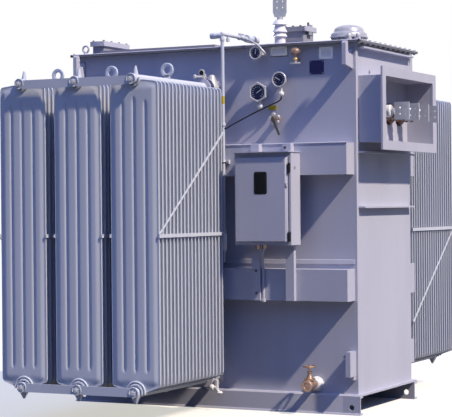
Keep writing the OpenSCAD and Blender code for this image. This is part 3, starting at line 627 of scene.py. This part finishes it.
def holed_plate(x0, x1, x):
    """A piece of the channel's web with the pulling hole at x.

    Points along a rectangle, and points of a circle in the same directions from its centre, at two depths.
    """
    t = np.linspace(0, 1, 12, endpoint=False)[:, None]
    corners = np.array([(x0, 0), (x1, 0), (x1, SKID_H), (x0, SKID_H)], float)
    outer = np.concatenate([a + t * (b - a) for a, b in zip(corners, np.roll(corners, -1, 0))])
    away = outer - (x, PULL_Z)
    inner = (x, PULL_Z) + PULL_R * away / np.linalg.norm(away, axis=1, keepdims=True)
    loops = ((outer, SKID_Y0), (inner, SKID_Y0), (inner, WEB_Y), (outer, WEB_Y))
    points = [np.column_stack([o[:, 0], np.full(len(o), y), o[:, 1]]) for o, y in loops]
    return grid(np.stack(points), round_u=True, round_v=True)


def ledge(y, z, out, up):
    """A strip along the tank, sloping down to the front: a five-point profile carried along X."""
    profile = np.array([(0, 0), (out, 0), (out, 0.15 * up), (0.15 * out, up), (0, up)], float)
    return face(slab(profile, 2 * SKID_X, 0.3), (SKID_X, y, z), FRONT, UP)


web = join(box(-END_X, END_X, SKID_Y0, WEB_Y, 0, SKID_H, 0.4, 0.2), holed_plate(END_X, SKID_X, PULL_X),
           holed_plate(-SKID_X, -END_X, -PULL_X))
flanges = [box(-SKID_X, SKID_X, WEB_Y, SKID_Y1, z, z + FLANGE_T, 1, 0.5) for z in (0.0, SKID_H - FLANGE_T)]
toe = ledge(SKID_Y0, 0.0, 9.0, 15.0)
put("front_skid_channel", join(web, *flanges, toe), tank_paint, replaces=("skid_front",))
put("floor_edge_strip", ledge(-HY - 30, FLOOR_Z - 14, 10.0, 14.0), tank_paint)

# Wall trim: a bead along the upper edge of each upper band and a flat ridge above each lower band.
BAND_TOP, BAND_END, RIDGE_Z0, RIDGE_Z1 = 1904.0, HX - 20.0, 1052, 1086
bead = rod((-BAND_END, 2 - BAND_Y, BAND_TOP - 1), (BAND_END, 2 - BAND_Y, BAND_TOP - 1), 6.5, 16)
ridge = box(-BAND_END, BAND_END, -HY - 8, -HY, RIDGE_Z0, RIDGE_Z1, 1, 3)
put("band_edge_beads", both_sides(bead), tank_paint)
put("wall_ridges", both_sides(ridge), tank_paint)

# Gauges: silver cases with sunk dark dials, white marks and pointers. Each is x, z, front and radius.
PRESSURE = (406.0, 2557.0, 645.0, 47.0)
LEVEL = (567.0, 2365.0, 595.0, 56.0)
TEMPERATURE = (398.0, 2280.0, 595.0, 75.0)
HEX_DIAL_R, HEX_MARK_R = 66.0, 64.0
GLAND_Y, LEVEL_GLAND, TEMPERATURE_GLAND = -562.0, (572, 2246, 2322), (404, 2162, 2232)


def gauge_case(x, z, front, r, sides=40, turn=0.0):
    """Stem, case and bezel of a gauge: a stepped profile turned about the line from the wall to the front."""
    h = front - HY
    profile = [(17, 0), (17, h * 0.35), (r * 0.72, h * 0.38), (r * 0.92, h * 0.5), (r * 0.92, h - 16),
               (r, h - 12), (r, h - 3), (r - 3, h), (r * 0.84, h), (r * 0.80, h - 6)]
    return lathe(profile, (x, -HY, z), FRONT, sides, turn)


def dial_face(x, z, front, r):
    """A flat disc set in the bezel."""
    return lathe([(r * 0.80, 0), (r * 0.80, 1.4)], (x, 6.5 - front, z), FRONT)


def dial_marks(x, z, front, r, pointer):
    """Marks over three quarters of a circle and one pointer, lying just over a dial."""
    mark = face(slab(rounded(r * 0.15, 2.6, 0.6, 2), 1.0, 0.2), (r * 0.62, 0, 0), RIGHT, BACK)
    sweep = np.radians(np.linspace(-45, 225, 13))
    hand = face(slab(rounded(r * 0.72, 4.0, 1.0, 2), 1.6, 0.3), (r * 0.2, 0, 0.2), RIGHT, BACK)
    marks = join(turned(mark, sweep), turned(hand, np.radians([pointer])))
    return face(marks, (x, 5.5 - front, z), RIGHT, UP)


def gland(x, z0, z1):
    """A bulged cable gland below a gauge with its neck: a profile turned about an upright line."""
    h = z1 - z0
    profile = [(9, 0), (16, 5), (20, 14), (20, 22), (15, 31), (9, 36), (9, h)]
    return lathe(profile, (x, GLAND_Y, z0), UP, 24)


gauge_cases = join(gauge_case(*PRESSURE), gauge_case(*LEVEL), gauge_case(*TEMPERATURE, 6, math.pi / 6))
put("gauge_cases", gauge_cases, gauge_silver, replaces=("gauges",))
dials = join(dial_face(*PRESSURE), dial_face(*LEVEL), dial_face(*TEMPERATURE[:3], HEX_DIAL_R))
put("gauge_dials", dials, dial_blue)
marks = join(dial_marks(*PRESSURE, 80), dial_marks(*LEVEL, 150), dial_marks(*TEMPERATURE[:3], HEX_MARK_R, 35))
put("gauge_marks", marks, dial_white)
put("gauge_glands", join(gland(*LEVEL_GLAND), gland(*TEMPERATURE_GLAND)), dial_white)

# Sense tube from the pipe's arm to the pressure gauge.
SENSE_ROUTE = [(170, -386, 2700), (300, -560, 2668), (385, -640, 2638), (431, -642, 2610), (461, -640, 2576),
               (476, -630, 2556), (468, -606, 2544), (444, -600, 2544)]
put("gauge_sense_tube", tube(smooth_path(SENSE_ROUTE), 7.0), gauge_silver)

# Cable from the level gauge to the upright pipe, held at both ends.
PLUG, PIPE_END = np.array([572.0, -562.0, 2245.7]), np.array([183.5, -690.0, 2023.7])
CABLE_R = 5.0
cable_points = [PLUG, PLUG + (0, 0, -10), PLUG + (-8, -1, -24), PLUG + (-42, -6, -44),
                PLUG + (-126, -23, -80), PIPE_END + (178.5, 80, 100), PIPE_END + (97.5, 50, 56),
                PIPE_END + (41.5, 22, 22), PIPE_END + (18.5, 7, 6), PIPE_END + (7.5, 0, 0.5), PIPE_END]
cable_line = smooth_path(cable_points, 90)
cable = put("level_gauge_cable", tube(cable_line, CABLE_R), cable_rubber,
            replaces=("gauge_cable",))

# Bare plates on the front wall, with a slightly raised field and rivets. Each is x0, x1, z0, z1.
NAME_PLATES = ((473, 606, 2539, 2606), (852, 958, 2500, 2586))
DARK_EDGE, BLUE_PLATE, YELLOW_TAG = (472, 612, 2532, 2606), (777, 888, 2394, 2493), (453, 520, 2152, 2186)
PLATE_T, FIELD_T, DARK_EDGE_T, TAG_T = 3.0, 3.8, 1.6, 2.0
FIELD_IN, RIVET_IN = 16, 8


def wall_plate(x0, x1, z0, z1, depth=PLATE_T, edge=0.8):
    """A thin plate on the front wall: a rounded outline raised by its depth."""
    plate = slab(rounded(x1 - x0, z1 - z0, 4), depth, edge)
    return face(plate, ((x0 + x1) / 2, -HY, (z0 + z1) / 2), RIGHT, UP)


def plate_rivets(x0, x1, z0, z1):
    """Four low round heads near the corners of a plate."""
    head = lathe([(4, 0), (3, 1.6), (0, 2.2)], sides=8)
    places_x, places_z = (x0 + RIVET_IN, x1 - RIVET_IN), (z0 + RIVET_IN, z1 - RIVET_IN)
    corners = [(x, -HY - PLATE_T, z) for x in places_x for z in places_z]
    return copies(head, corners, FRONT)


put("bare_name_plates", join(*[wall_plate(*p) for p in NAME_PLATES]), bare_plate)
fields = [wall_plate(x0 + FIELD_IN, x1 - FIELD_IN, z0 + FIELD_IN, z1 - FIELD_IN, FIELD_T)
          for x0, x1, z0, z1 in NAME_PLATES]
put("name_plate_fields", join(*fields), plate_field)
# A thin dark sheet behind the first name plate, showing as a dark edge below and to the right of it.
put("name_plate_dark_edge", wall_plate(*DARK_EDGE, DARK_EDGE_T, 0.4), dark_steel)
put("bare_blue_plate", wall_plate(*BLUE_PLATE), blue_plate)
rivets = [plate_rivets(*p) for p in (*NAME_PLATES, BLUE_PLATE)]
put("plate_rivets", join(*rivets), plated_bolt)
put("bare_yellow_tag", wall_plate(*YELLOW_TAG, TAG_T), yellow_paint)

# Cabinet door: a leaf with a bevelled free edge, a window and a hasp.
DOOR_X0, DOOR_X1, DOOR_Z0, DOOR_Z1, DOOR_Y, DOOR_T = 338.0, 724.0, 1218.0, 1806.0, 820.0, 24.0
DOOR_FACE, DOOR_H, BEVEL_W = -DOOR_Y - DOOR_T, DOOR_Z1 - DOOR_Z0, 12
WINDOW, WINDOW_W, WINDOW_H = (536.0, DOOR_FACE, 1627.0), 100.0, 158.0
HASP_X, HASP_Z = 733, 1612
door_middle = ((DOOR_X0 + DOOR_X1) / 2, -DOOR_Y, (DOOR_Z0 + DOOR_Z1) / 2)
leaf = face(slab(rounded(DOOR_X1 - DOOR_X0, DOOR_H, 4), DOOR_T, 3), door_middle, RIGHT, UP)
bevel_outline = np.array([(0, 0), (BEVEL_W, 0), (BEVEL_W, 13), (0, DOOR_T)], float)
bevel = face(slab(bevel_outline, DOOR_H, 0.5), (DOOR_X1, -DOOR_Y, DOOR_Z1), RIGHT, FRONT)
put("cabinet_door_leaf", join(leaf, bevel), tank_paint, body="cabinet_door_body",
    replaces=("cabinet_door",))
frame_out, frame_in = rounded(WINDOW_W, WINDOW_H, 14), rounded(WINDOW_W - 22, WINDOW_H - 22, 8)
window_frame = loft((frame_in, 0), (frame_out, 0), (frame_out, 1.0), (frame_in, 1.6), (frame_in, 0))
window_frame = face(window_frame, WINDOW, RIGHT, UP)
put("door_window_frame", window_frame, cable_rubber, body="cabinet_door_body")
pane = face(slab(frame_in, 1.0, 0.3), WINDOW, RIGHT, UP)
put("door_window_pane", pane, dark_glass, body="cabinet_door_body")
hasp = join(box(HASP_X - 7, HASP_X + 8, DOOR_FACE - 1, DOOR_FACE + 12, HASP_Z - 14, HASP_Z + 14, 3, 1),
            rod((HASP_X, DOOR_FACE + 2, HASP_Z - 8), (HASP_X, DOOR_FACE + 2, HASP_Z + 8), 5, 12))
put("door_hasp", hasp, gauge_silver, body="cabinet_door_body")

# Cabinet: clamps and a strip of painted shade beside the door, a side screw, strap bolts, a lug and a conduit
# with its entries.
CAB_X1, CAB_FRONT = 757.0, -815.0
CAB_SCREW = (CAB_X1, -752, 1737)
CLAMP_X, CLAMP_Z = 748, (1253, 1729)
GAP_SHADE_X0, GAP_SHADE_X1 = 740, 750
STRAP_BOLTS, HANGER_BOLT = ((424, -696, 1008), (427, -696, 851)), (668, -716, 1876)
CONDUIT_ROUTE = [(516, -740, 1193), (514, -739, 1172), (500, -732, 1146), (484, -718, 1118),
                 (478, -700, 1080), (474, -684, 1040), (472, -673, 1000), (471, -672, 900), (471, -672, 805)]
BAND_LUG = (458, 484, -688, -BAND_Y, 786, 804)
ENTRY_PLACES = ((463, -740, 1163), (516, -740, 1163))
CABLE_ENTRY = [(15, 0), (18, 5), (18, 20), (22, 24), (22, 30)]
clamps = [join(box(CLAMP_X - 8, CLAMP_X + 7, CAB_FRONT - 18, CAB_FRONT, z - 32, z + 32, 4, 2),
               rod((CLAMP_X, CAB_FRONT - 20, z - 36), (CLAMP_X, CAB_FRONT - 20, z + 36), 6, 12))
          for z in CLAMP_Z]
put("cabinet_clamps", join(*clamps), gauge_black)
# Painted shade: a thin strip in the darkened paint, standing for the shaded gap between the door and the
# cabinet side.
gap_shade = box(GAP_SHADE_X0, GAP_SHADE_X1, CAB_FRONT - 4, CAB_FRONT, DOOR_Z0, DOOR_Z1, 1, 0.5)
put("cabinet_gap_shade", gap_shade, painted_shade_paint)
put("cabinet_side_screws", copies(hex_bolt(9.0, 8.0), CAB_SCREW, RIGHT), plated_bolt)
put("strap_bolts", copies(hex_bolt(8.0, 8.0), (*STRAP_BOLTS, HANGER_BOLT), FRONT), dark_steel)
put("band_lug", box(*BAND_LUG, 3, 2), tank_paint)
conduit = tube(smooth_path(CONDUIT_ROUTE), 10.0, 14, aside=(1.0, 0.2, 0.0))
put("cabinet_conduit", conduit, tank_paint)
put("cabinet_cable_entries", shifted(lathe(CABLE_ENTRY, sides=6), ENTRY_PLACES), copper_cap)

# Brass valve under the cover edge: cap, neck, ball and a flat bar on a stub. Heights are from the stub.
BRASS_X, BRASS_Y, BRASS_Z = 696.0, -585.0, 2502
BRASS = (BRASS_X, BRASS_Y, BRASS_Z)
BRASS_CAP = [(8, -12), (12, -7), (14, 0), (12, 7), (8, 12), (9, 18), (13, 22), (13, 28), (22, 32),
             (31, 39), (36, 50), (35, 63), (27, 75), (14, 82), (0, 84)]
BRASS_BALL = [(0, -16), (11, -13), (16, -6), (17, 0), (16, 6), (11, 13), (0, 16)]
brass_body = join(lathe(BRASS_CAP, BRASS, UP, 32), rod((BRASS_X, -HY, BRASS_Z), BRASS, 8, 16))
put("brass_valve_body", brass_body, copper_cap, replaces=("brass_valve",))
put("brass_valve_ball", lathe(BRASS_BALL, BRASS, UP, 24), brass)
bar = box(BRASS_X - 40, BRASS_X + 34, BRASS_Y - 11, BRASS_Y + 11, BRASS_Z - 32, BRASS_Z - 22, 4, 2)
bar_pin = rod((BRASS_X, BRASS_Y, BRASS_Z - 24), (BRASS_X, BRASS_Y, BRASS_Z - 10), 9, 12)
put("brass_valve_bar", join(bar, bar_pin), gauge_silver)

# Small valve: stub, dark gasket, round body with five lugs, and a tapered lever. Heights are from the wall.
LEVER_X, LEVER_Z, LEVER_LEAN = 524.0, 2086.0, math.radians(22)
LEVER_ROOT = (LEVER_X, -HY, LEVER_Z)
STUB = [(28, 0), (28, 8), (22, 12), (22, 50)]
VALVE_DISC = [(26, 52), (30, 55), (30, 58), (24, 60)]
VALVE_LUG = [(14, 0), (15, 3), (15, 9), (11, 13)]
GASKET = [(32, 46), (32, 53)]
LEVER_HUB = [(12, 60.4), (12, 68), (16, 70), (16, 80), (13, 83)]
LEVER_ARM = [(-11, 13), (-11, -6), (-8, -118), (-4, -127), (4, -127), (8, -118), (11, -6), (11, 13)]
small_valve = join(lathe(STUB, LEVER_ROOT, FRONT, 28), lathe(VALVE_DISC, LEVER_ROOT, FRONT, 32))
put("small_valve_body", small_valve, bronze, replaces=("small_valve",))
lug_ring = circle_of((LEVER_X, -HY - 47, LEVER_Z), FRONT, 31, 5, 0.5)
put("small_valve_lugs", copies(lathe(VALVE_LUG, sides=16), lug_ring, FRONT), gauge_silver)
put("small_valve_gasket", lathe(GASKET, LEVER_ROOT, FRONT, 28), cable_rubber)
arm_right = (math.cos(LEVER_LEAN), 0, math.sin(LEVER_LEAN))
arm_up = (-math.sin(LEVER_LEAN), 0, math.cos(LEVER_LEAN))
lever = join(face(slab(LEVER_ARM, 8, 1.5), (LEVER_X, -HY - 72, LEVER_Z), arm_right, arm_up),
             lathe(LEVER_HUB, LEVER_ROOT, FRONT, 24))
put("valve_lever_arm", lever, dark_steel, body="valve_lever_body", replaces=("valve_lever",))

# Drain valve: painted wall flange, bronze body with a round outlet, bonnet, stem and handwheel.
DRAIN_X, DRAIN_Z, WHEEL_Y, WHEEL_Z = 815.0, 206.0, -653.0, 338.0
DRAIN_ROOT, WHEEL = (DRAIN_X, -HY, DRAIN_Z), (DRAIN_X, WHEEL_Y, WHEEL_Z)
DRAIN_FLANGE = [(52, 0), (52, 14), (49, 26), (42, 38), (32, 46)]
DRAIN_BODY = [(30, 10), (30, 18), (24, 22), (24, 90), (32, 100), (36, 118), (36, 138), (30, 152),
              (26, 160), (40, 164), (42, 168), (42, 180), (38, 184), (24, 184), (20, 176)]
DRAIN_NECK = [(0, 0), (30, 6), (31, 22), (26, 34), (38, 37), (38, 46), (26, 49), (22, 58), (14, 74), (13, 84),
              (18, 90), (18, 98), (9, 102), (9, 123)]
WHEEL_HUB = [(9.3, -14), (16, -14), (16, 5), (13, 8), (7, 8), (7, 12), (0, 12), (0, -5), (9.3, -5),
             (9.3, -14)]
flange_ring = circle_of((DRAIN_X, -HY - 27, DRAIN_Z), FRONT, 46, 6)
drain_bolts = copies(hex_bolt(6.0, 5.0), flange_ring, FRONT)
wall_flange = join(lathe(DRAIN_FLANGE, DRAIN_ROOT, FRONT, 32), drain_bolts)
put("drain_wall_flange", wall_flange, dial_white)
bonnet_ring = circle_of((DRAIN_X, WHEEL_Y, DRAIN_Z + 46), UP, 32, 6)
drain_valve = join(lathe(DRAIN_BODY, DRAIN_ROOT, FRONT, 32),
                   lathe(DRAIN_NECK, (DRAIN_X, WHEEL_Y, DRAIN_Z), UP, 28),
                   copies(hex_bolt(6.0, 7.0), bonnet_ring, UP))
put("drain_valve_body", drain_valve, bronze, replaces=("drain_valve",))
spoke = face(slab(rounded(36, 9, 3), 8, 1.5), (24, 0, -4), RIGHT, BACK)
spokes = face(turned(spoke, np.radians([0, 120, 240])), WHEEL, RIGHT, BACK)
handwheel = join(ring(WHEEL, UP, 41, 6, 48, 12), spokes, lathe(WHEEL_HUB, WHEEL, UP, 24))
put("drain_handwheel_rim", handwheel, bronze, body="drain_handwheel_body",
    replaces=("drain_handwheel",))


# Insulators.
def shed_profile(core, shed, heights, top, foot):
    """Radius over height of an insulator: a foot, a core and sheds, each a thin lip under a sloping roof."""
    points = [(foot, 0), (foot, 14), (foot - 6, 20), (core + 6, 24), (core, 32)]
    for h in heights:
        points += [(core, h - 8), (core + 4, h - 4), (shed - 3, h - 2), (shed, h + 1), (shed - 2, h + 5),
                   (core + 6, h + 17), (core + 1, h + 24)]
    return points + [(core, top - 8), (core - 6, top)]


NEUTRAL = (421.0, -250.0)
neutral = lathe(shed_profile(40, 55, (84, 118, 172), 206, 62), (*NEUTRAL, COVER_Z), UP, 48)
put("neutral_insulator", neutral, porcelain, replaces=("neutral_bushing",))
base_bolts = copies(hex_bolt(8.0, 9.0), circle_of((*NEUTRAL, COVER_Z + 14), UP, 55, 6, 0.3), UP)
put("neutral_base_bolts", base_bolts, plated_bolt)

# Low-voltage insulators in the right throat box: a stepped body, a gasket and a cap each.
THROAT_Z, LV_PITCH, LV_COUNT = 2130.0, 200.0, 4
LV_BODY = [(70, 8), (70, 20), (62, 30), (52, 40), (48, 52), (54, 58), (54, 64), (46, 72), (44, 92),
           (54, 98), (54, 104), (42, 112), (40, 140)]
LV_GASKET = [(78, 0), (78, 8)]
LV_CAP = [(40, 138), (44, 142), (44, 172), (38, 178)]


def throat_row(x, pitch, count):
    """Places of the bushings on an end wall: a level row about the middle of the tank."""
    return np.outer(pitch * (np.arange(count) - (count - 1) / 2), BACK) + (x, 0, THROAT_Z)


lv_places = throat_row(HX, LV_PITCH, LV_COUNT)
put("lv_insulators", shifted(lathe(LV_BODY, axis=RIGHT), lv_places), brown_glaze,
    replaces=("lv_bushings",))
put("lv_gaskets", shifted(lathe(LV_GASKET, axis=RIGHT), lv_places), cable_rubber)
# The tinned caps are coloured white: a painted highlight for their sunlit look.
put("lv_caps", shifted(lathe(LV_CAP, axis=RIGHT, sides=36), lv_places), dial_white)

# High-voltage insulators in the left throat box: a body with three sheds and a stud each.
HV_PITCH, HV_COUNT, HV_SHEDS, HV_SHED_PITCH = 300.0, 3, 3, 36
HV_FOOT, HV_TOP = [(60, 0), (60, 16), (54, 20), (38, 26), (34, 40)], [(34, 150), (20, 156)]
HV_SHED = [(34, 40), (52, 44), (54, 48), (38, 60)]
HV_STUD = [(20, 150), (20, 162), (14, 166), (14, 306), (11, 310)]
hv_sheds = [(r, h + HV_SHED_PITCH * k) for k in range(HV_SHEDS) for r, h in HV_SHED]
hv_places = throat_row(-HX, HV_PITCH, HV_COUNT)
hv_bodies = shifted(lathe(HV_FOOT + hv_sheds + HV_TOP, axis=LEFT), hv_places)
put("hv_insulators", hv_bodies, brown_glaze, replaces=("hv_bushings",))
put("hv_studs", shifted(lathe(HV_STUD, axis=LEFT, sides=24), hv_places), tinned_terminal)

# Relief dome: a stepped cap over a flange with bolts, and two small fittings in front of it.
DOME = (HX - 268.0, 0, COVER_Z)
DOME_STEPS = [(112, 0), (112, 62), (136, 66), (140, 70), (140, 78), (134, 82), (132, 100), (126, 108),
              (118, 112), (112, 116), (110, 124)]
DOME_R, DOME_EDGE, DOME_Z, DOME_H = 96, 12, 128, 40
FITTING_PLACES = ((921, -140, COVER_Z), (992, -140, COVER_Z))
FITTING_CAP = [(14, 60), (17, 66), (17, 84), (12, 92), (0, 94)]
dome_crown = [(DOME_EDGE + DOME_R * math.cos(t), DOME_Z + DOME_H * math.sin(t))
              for t in np.radians(np.linspace(0, 90, 12))]
dome = lathe(DOME_STEPS + dome_crown, DOME, UP, 64)
put("relief_dome_cap", dome, polished_steel, replaces=("relief_dome",))
dome_bolts = copies(hex_bolt(9.0, 12.0), circle_of((*DOME[:2], COVER_Z + 66), UP, 126, 12, 0.2), DOWN)
put("relief_dome_bolts", dome_bolts, plated_bolt)
fitting = join(box(-18, 18, -16, 16, 0, 62, 5, 3), lathe(FITTING_CAP, sides=20),
               rod((0, -16, 40), (0, -38, 40), 9, 14))
put("cover_fittings", shifted(fitting, FITTING_PLACES), gauge_silver)

# Upright pipe: couplings, elbow and the fittings on its arm, a yellow band, a clamp and a bottle at its foot.
PIPE_X, PIPE_Y, PIPE_TOP = 170.0, -690.0, 2700.0
COUPLING_Z, YELLOW_Z, PIPE_CLAMP_Z, BOTTLE_Z = (2650, 2040, 1275, 1140), 2200, 1785, 1150
ARM_VALVE_Y, ARM_STEM_Y, ARM_DRIP_Y, ARM_END_Y = -420, -386, -600, -150
COUPLING = [(17, 0), (18, 3), (18, 21), (17, 24)]
ELBOW = [(0, -17), (11, -14), (17, -6), (17, 6), (11, 14), (0, 17)]
ELBOW_PLUG = [(20, 0), (22, 4), (22, 40), (16, 46)]
ARM_VALVE = [(20, 0), (20, 12), (15, 18), (15, 50), (20, 56), (20, 68)]
ARM_DRIP = [(14, 0), (14, 24), (9, 30), (9, 44)]
ARM_END = [(18, 0), (22, 6), (22, 34), (16, 42)]
YELLOW_BAND = [(13.2, 0), (14.2, 1), (14.2, 54), (13.2, 55), (13.2, 0)]
BOTTLE = [(14, 0), (21, 8), (22, 60), (22, 118), (16, 130), (0, 132)]
couplings = shifted(lathe(COUPLING, sides=24), [(PIPE_X, PIPE_Y, z) for z in COUPLING_Z])
elbow = join(lathe(ELBOW, (PIPE_X, PIPE_Y, PIPE_TOP), BACK, 24),
             lathe(ELBOW_PLUG, (PIPE_X - 92, PIPE_Y, PIPE_TOP - 10), RIGHT, 24))
arm_fittings = join(
    lathe(ARM_VALVE, (PIPE_X, ARM_VALVE_Y, PIPE_TOP), BACK, 24),
    lathe(ARM_DRIP, (PIPE_X, ARM_DRIP_Y, PIPE_TOP - 48), UP, 20),
    rod((PIPE_X, ARM_STEM_Y, PIPE_TOP), (PIPE_X, ARM_STEM_Y, PIPE_TOP + 26), 6, 12),
    box(PIPE_X - 8, PIPE_X + 8, ARM_VALVE_Y, ARM_VALVE_Y + 80, PIPE_TOP + 22, PIPE_TOP + 30, 4, 2),
    lathe(ARM_END, (PIPE_X, ARM_END_Y, PIPE_TOP), BACK, 24))
put("pipe_fittings", join(couplings, elbow, arm_fittings), radiator_paint)
put("pipe_yellow_band", lathe(YELLOW_BAND, (PIPE_X, PIPE_Y, YELLOW_Z), UP, 24), yellow_paint)
pipe_clamp = join(copies(hex_bolt(10.0, 10.0), (PIPE_X + 28, -682, PIPE_CLAMP_Z), FRONT),
                  ring((PIPE_X, PIPE_Y, PIPE_CLAMP_Z), UP, 17, 4, 28, 8))
put("pipe_clamp", pipe_clamp, plated_bolt)
put("pipe_foot_bottle", lathe(BOTTLE, (PIPE_X, PIPE_Y, BOTTLE_Z), UP, 28), dial_white)

# Access boxes on the cover: bolts on both lids, a pin on the clamp, and a lid and an end plate in the plain
# tank paint over the boxes' painted shade.
HATCH_X, HATCH_Y, HATCH_TOP = HX - 665.0, -10.0, COVER_Z + 170
LEFT_X0, LEFT_X1, LEFT_TOP, LID_BOLT_IN = 50 - HX, 172 - HX, COVER_Z + 110, 16
lid_bolt = hex_bolt(9.0, 9.0)
hatch_row = line_of((HATCH_X - 70, HATCH_Y - 85, HATCH_TOP), (HATCH_X + 50, HATCH_Y - 85, HATCH_TOP), 3)
clamp_pin = rod((HATCH_X + 75, HATCH_Y, HATCH_TOP - 10), (HATCH_X + 75, HATCH_Y, HATCH_TOP + 35), 8, 14)
left_rows = [copies(lid_bolt, line_of((x, -430, LEFT_TOP), (x, -90, LEFT_TOP), 4), UP)
             for x in (LEFT_X1 - LID_BOLT_IN, LEFT_X0 + LID_BOLT_IN)]
put("lid_bolts", join(copies(lid_bolt, hatch_row, UP), clamp_pin, *left_rows), dark_steel)
# The left lid and the hatch end take the plain paint, so that they look lit against the painted shade of the
# boxes.
left_lid = box(LEFT_X0 - 2, LEFT_X1 + 2, -452, -69, LEFT_TOP - 39, LEFT_TOP, 3, 2)
hatch_end = box(HATCH_X + 83, HATCH_X + 99, HATCH_Y - 102, HATCH_Y + 102, HATCH_TOP - 37, HATCH_TOP + 2, 3, 2)
put("lid_covers", join(left_lid, hatch_end), tank_paint)

# End walls: two bolts on each.
WALL_BOLTS = ((HX, -274, 2419), (HX, 274, 2419))
put("end_wall_bolts", both_sides(copies(hex_bolt(12.0, 10.0), WALL_BOLTS, RIGHT)), plated_bolt)

# Studio. Sizes are metres here.
SKY, SKY_LOW, SKY_HIGH = (0.125, 0.208, 0.54), 0.15, 2.35
FLOOR_SIZE, FOOT_X, FOOT_Y = 70.0, 1.16, 0.57
FLOOR_DULL, FLOOR_LIT, FLOOR_GLOW = (0.09, 0.09, 0.085), (0.97, 0.97, 0.97), (1.0, 0.97, 0.88)
FADE = {"From Min": 0.93, "From Max": 1.04, "To Min": 0.0, "To Max": 0.6}


def lamp(name, travel, energy, colour, spread):
    """A distant lamp whose light travels one way, along its own -Z axis."""
    light = bpy.data.lights.new(name, "SUN")
    light.energy, light.color, light.angle = energy, colour, math.radians(spread)
    holder = bpy.data.objects.new(name, light)
    holder.rotation_euler = Vector(travel).to_track_quat("-Z", "Y").to_euler()
    bpy.context.scene.collection.objects.link(holder)


def one_colour(tree, kind, colour):
    """A shader of one kind in one colour."""
    node = tree.nodes.new(kind)
    node.inputs["Color"].default_value = (*colour, 1.0)
    return node.outputs[0]


def mixed(tree, amount, first, second):
    """Two shaders mixed, with the amount of the second from a socket."""
    node = tree.nodes.new("ShaderNodeMixShader")
    for source, socket in zip((amount, first, second), node.inputs):
        tree.links.new(source, socket)
    return node.outputs[0]


def math_node(tree, operation, *sources):
    """A Math node on one or two sockets."""
    node = tree.nodes.new("ShaderNodeMath")
    node.operation = operation
    for source, socket in zip(sources, node.inputs):
        tree.links.new(source, socket)
    return node


def axes_of(tree, coordinates):
    """X, Y and Z of one kind of texture coordinates."""
    coord = tree.nodes.new("ShaderNodeTexCoord")
    split = tree.nodes.new("ShaderNodeSeparateXYZ")
    tree.links.new(coord.outputs[coordinates], split.inputs[0])
    return split.outputs


def seen_ray(tree):
    """1 for what the camera sees, also in a reflection or through glass, and 0 for light on the object."""
    path = tree.nodes.new("ShaderNodeLightPath").outputs
    direct = math_node(tree, "MAXIMUM", path["Is Camera Ray"], path["Is Glossy Ray"])
    return math_node(tree, "MAXIMUM", direct.outputs[0], path["Is Transmission Ray"]).outputs[0]


def open_floor(tree):
    """Share of the floor's glow, painted light on the floor and its shadows: none under the tank, so the
    shade there stays dark, rising to its full share just outside the footprint.
    """
    place = axes_of(tree, "Object")
    shares = []
    for axis, half in (("X", FOOT_X), ("Y", FOOT_Y)):
        distance = math_node(tree, "ABSOLUTE", place[axis])
        share = math_node(tree, "DIVIDE", distance.outputs[0])
        share.inputs[1].default_value = half
        shares.append(share.outputs[0])
    fade = tree.nodes.new("ShaderNodeMapRange")
    fade.interpolation_type = "SMOOTHSTEP"
    for name, value in FADE.items():
        fade.inputs[name].default_value = value
    tree.links.new(math_node(tree, "MAXIMUM", *shares).outputs[0], fade.inputs["Value"])
    return fade.outputs[0]


def cool_world():
    """A cool sky, stronger from above, as light on the object, and white where the camera sees the world."""
    world = bpy.data.worlds.new("studio")
    bpy.context.scene.world = world
    world.use_nodes = True
    tree = world.node_tree
    tree.nodes.clear()
    out = tree.nodes.new("ShaderNodeOutputWorld")
    sky = tree.nodes.new("ShaderNodeBackground")
    height = axes_of(tree, "Generated")["Z"]
    colour = ramp(tree, height, (0.0, darker(SKY, SKY_LOW)), (1.0, darker(SKY, SKY_HIGH)))
    tree.links.new(colour, sky.inputs["Color"])
    white = one_colour(tree, "ShaderNodeBackground", grey(1.0))
    tree.links.new(mixed(tree, seen_ray(tree), sky.outputs[0], white), out.inputs["Surface"])


def pale_floor():
    """A floor that the camera sees pale, and that throws little light back on the object."""
    bpy.ops.mesh.primitive_plane_add(size=FLOOR_SIZE)
    floor = bpy.context.object
    floor.name = "studio_floor"
    mat = bpy.data.materials.new("studio_floor")
    mat.use_nodes = True
    tree = mat.node_tree
    tree.nodes.clear()
    out = tree.nodes.new("ShaderNodeOutputMaterial")
    dull = one_colour(tree, "ShaderNodeBsdfDiffuse", FLOOR_DULL)
    lit = one_colour(tree, "ShaderNodeBsdfDiffuse", FLOOR_LIT)
    glow = one_colour(tree, "ShaderNodeEmission", FLOOR_GLOW)
    # Painted light: a glow mixed into the floor the camera sees, paling it and the shadows on it outside the
    # tank's footprint.
    pale = mixed(tree, open_floor(tree), lit, glow)
    tree.links.new(mixed(tree, seen_ray(tree), dull, pale), out.inputs["Surface"])
    floor.data.materials.append(mat)


# A key from the right front and above, and a level fill that reaches only the far sides.
lamp("key", (-0.89, 0.22, -1.0), 4.7, (1.0, 0.87, 0.71), 2.0)
lamp("far_fill", (0.45, -0.89, 0.0), 2.2, (1.0, 0.92, 0.80), 10.0)
cool_world()
pale_floor()
bpy.context.scene.view_settings.view_transform = "Standard"
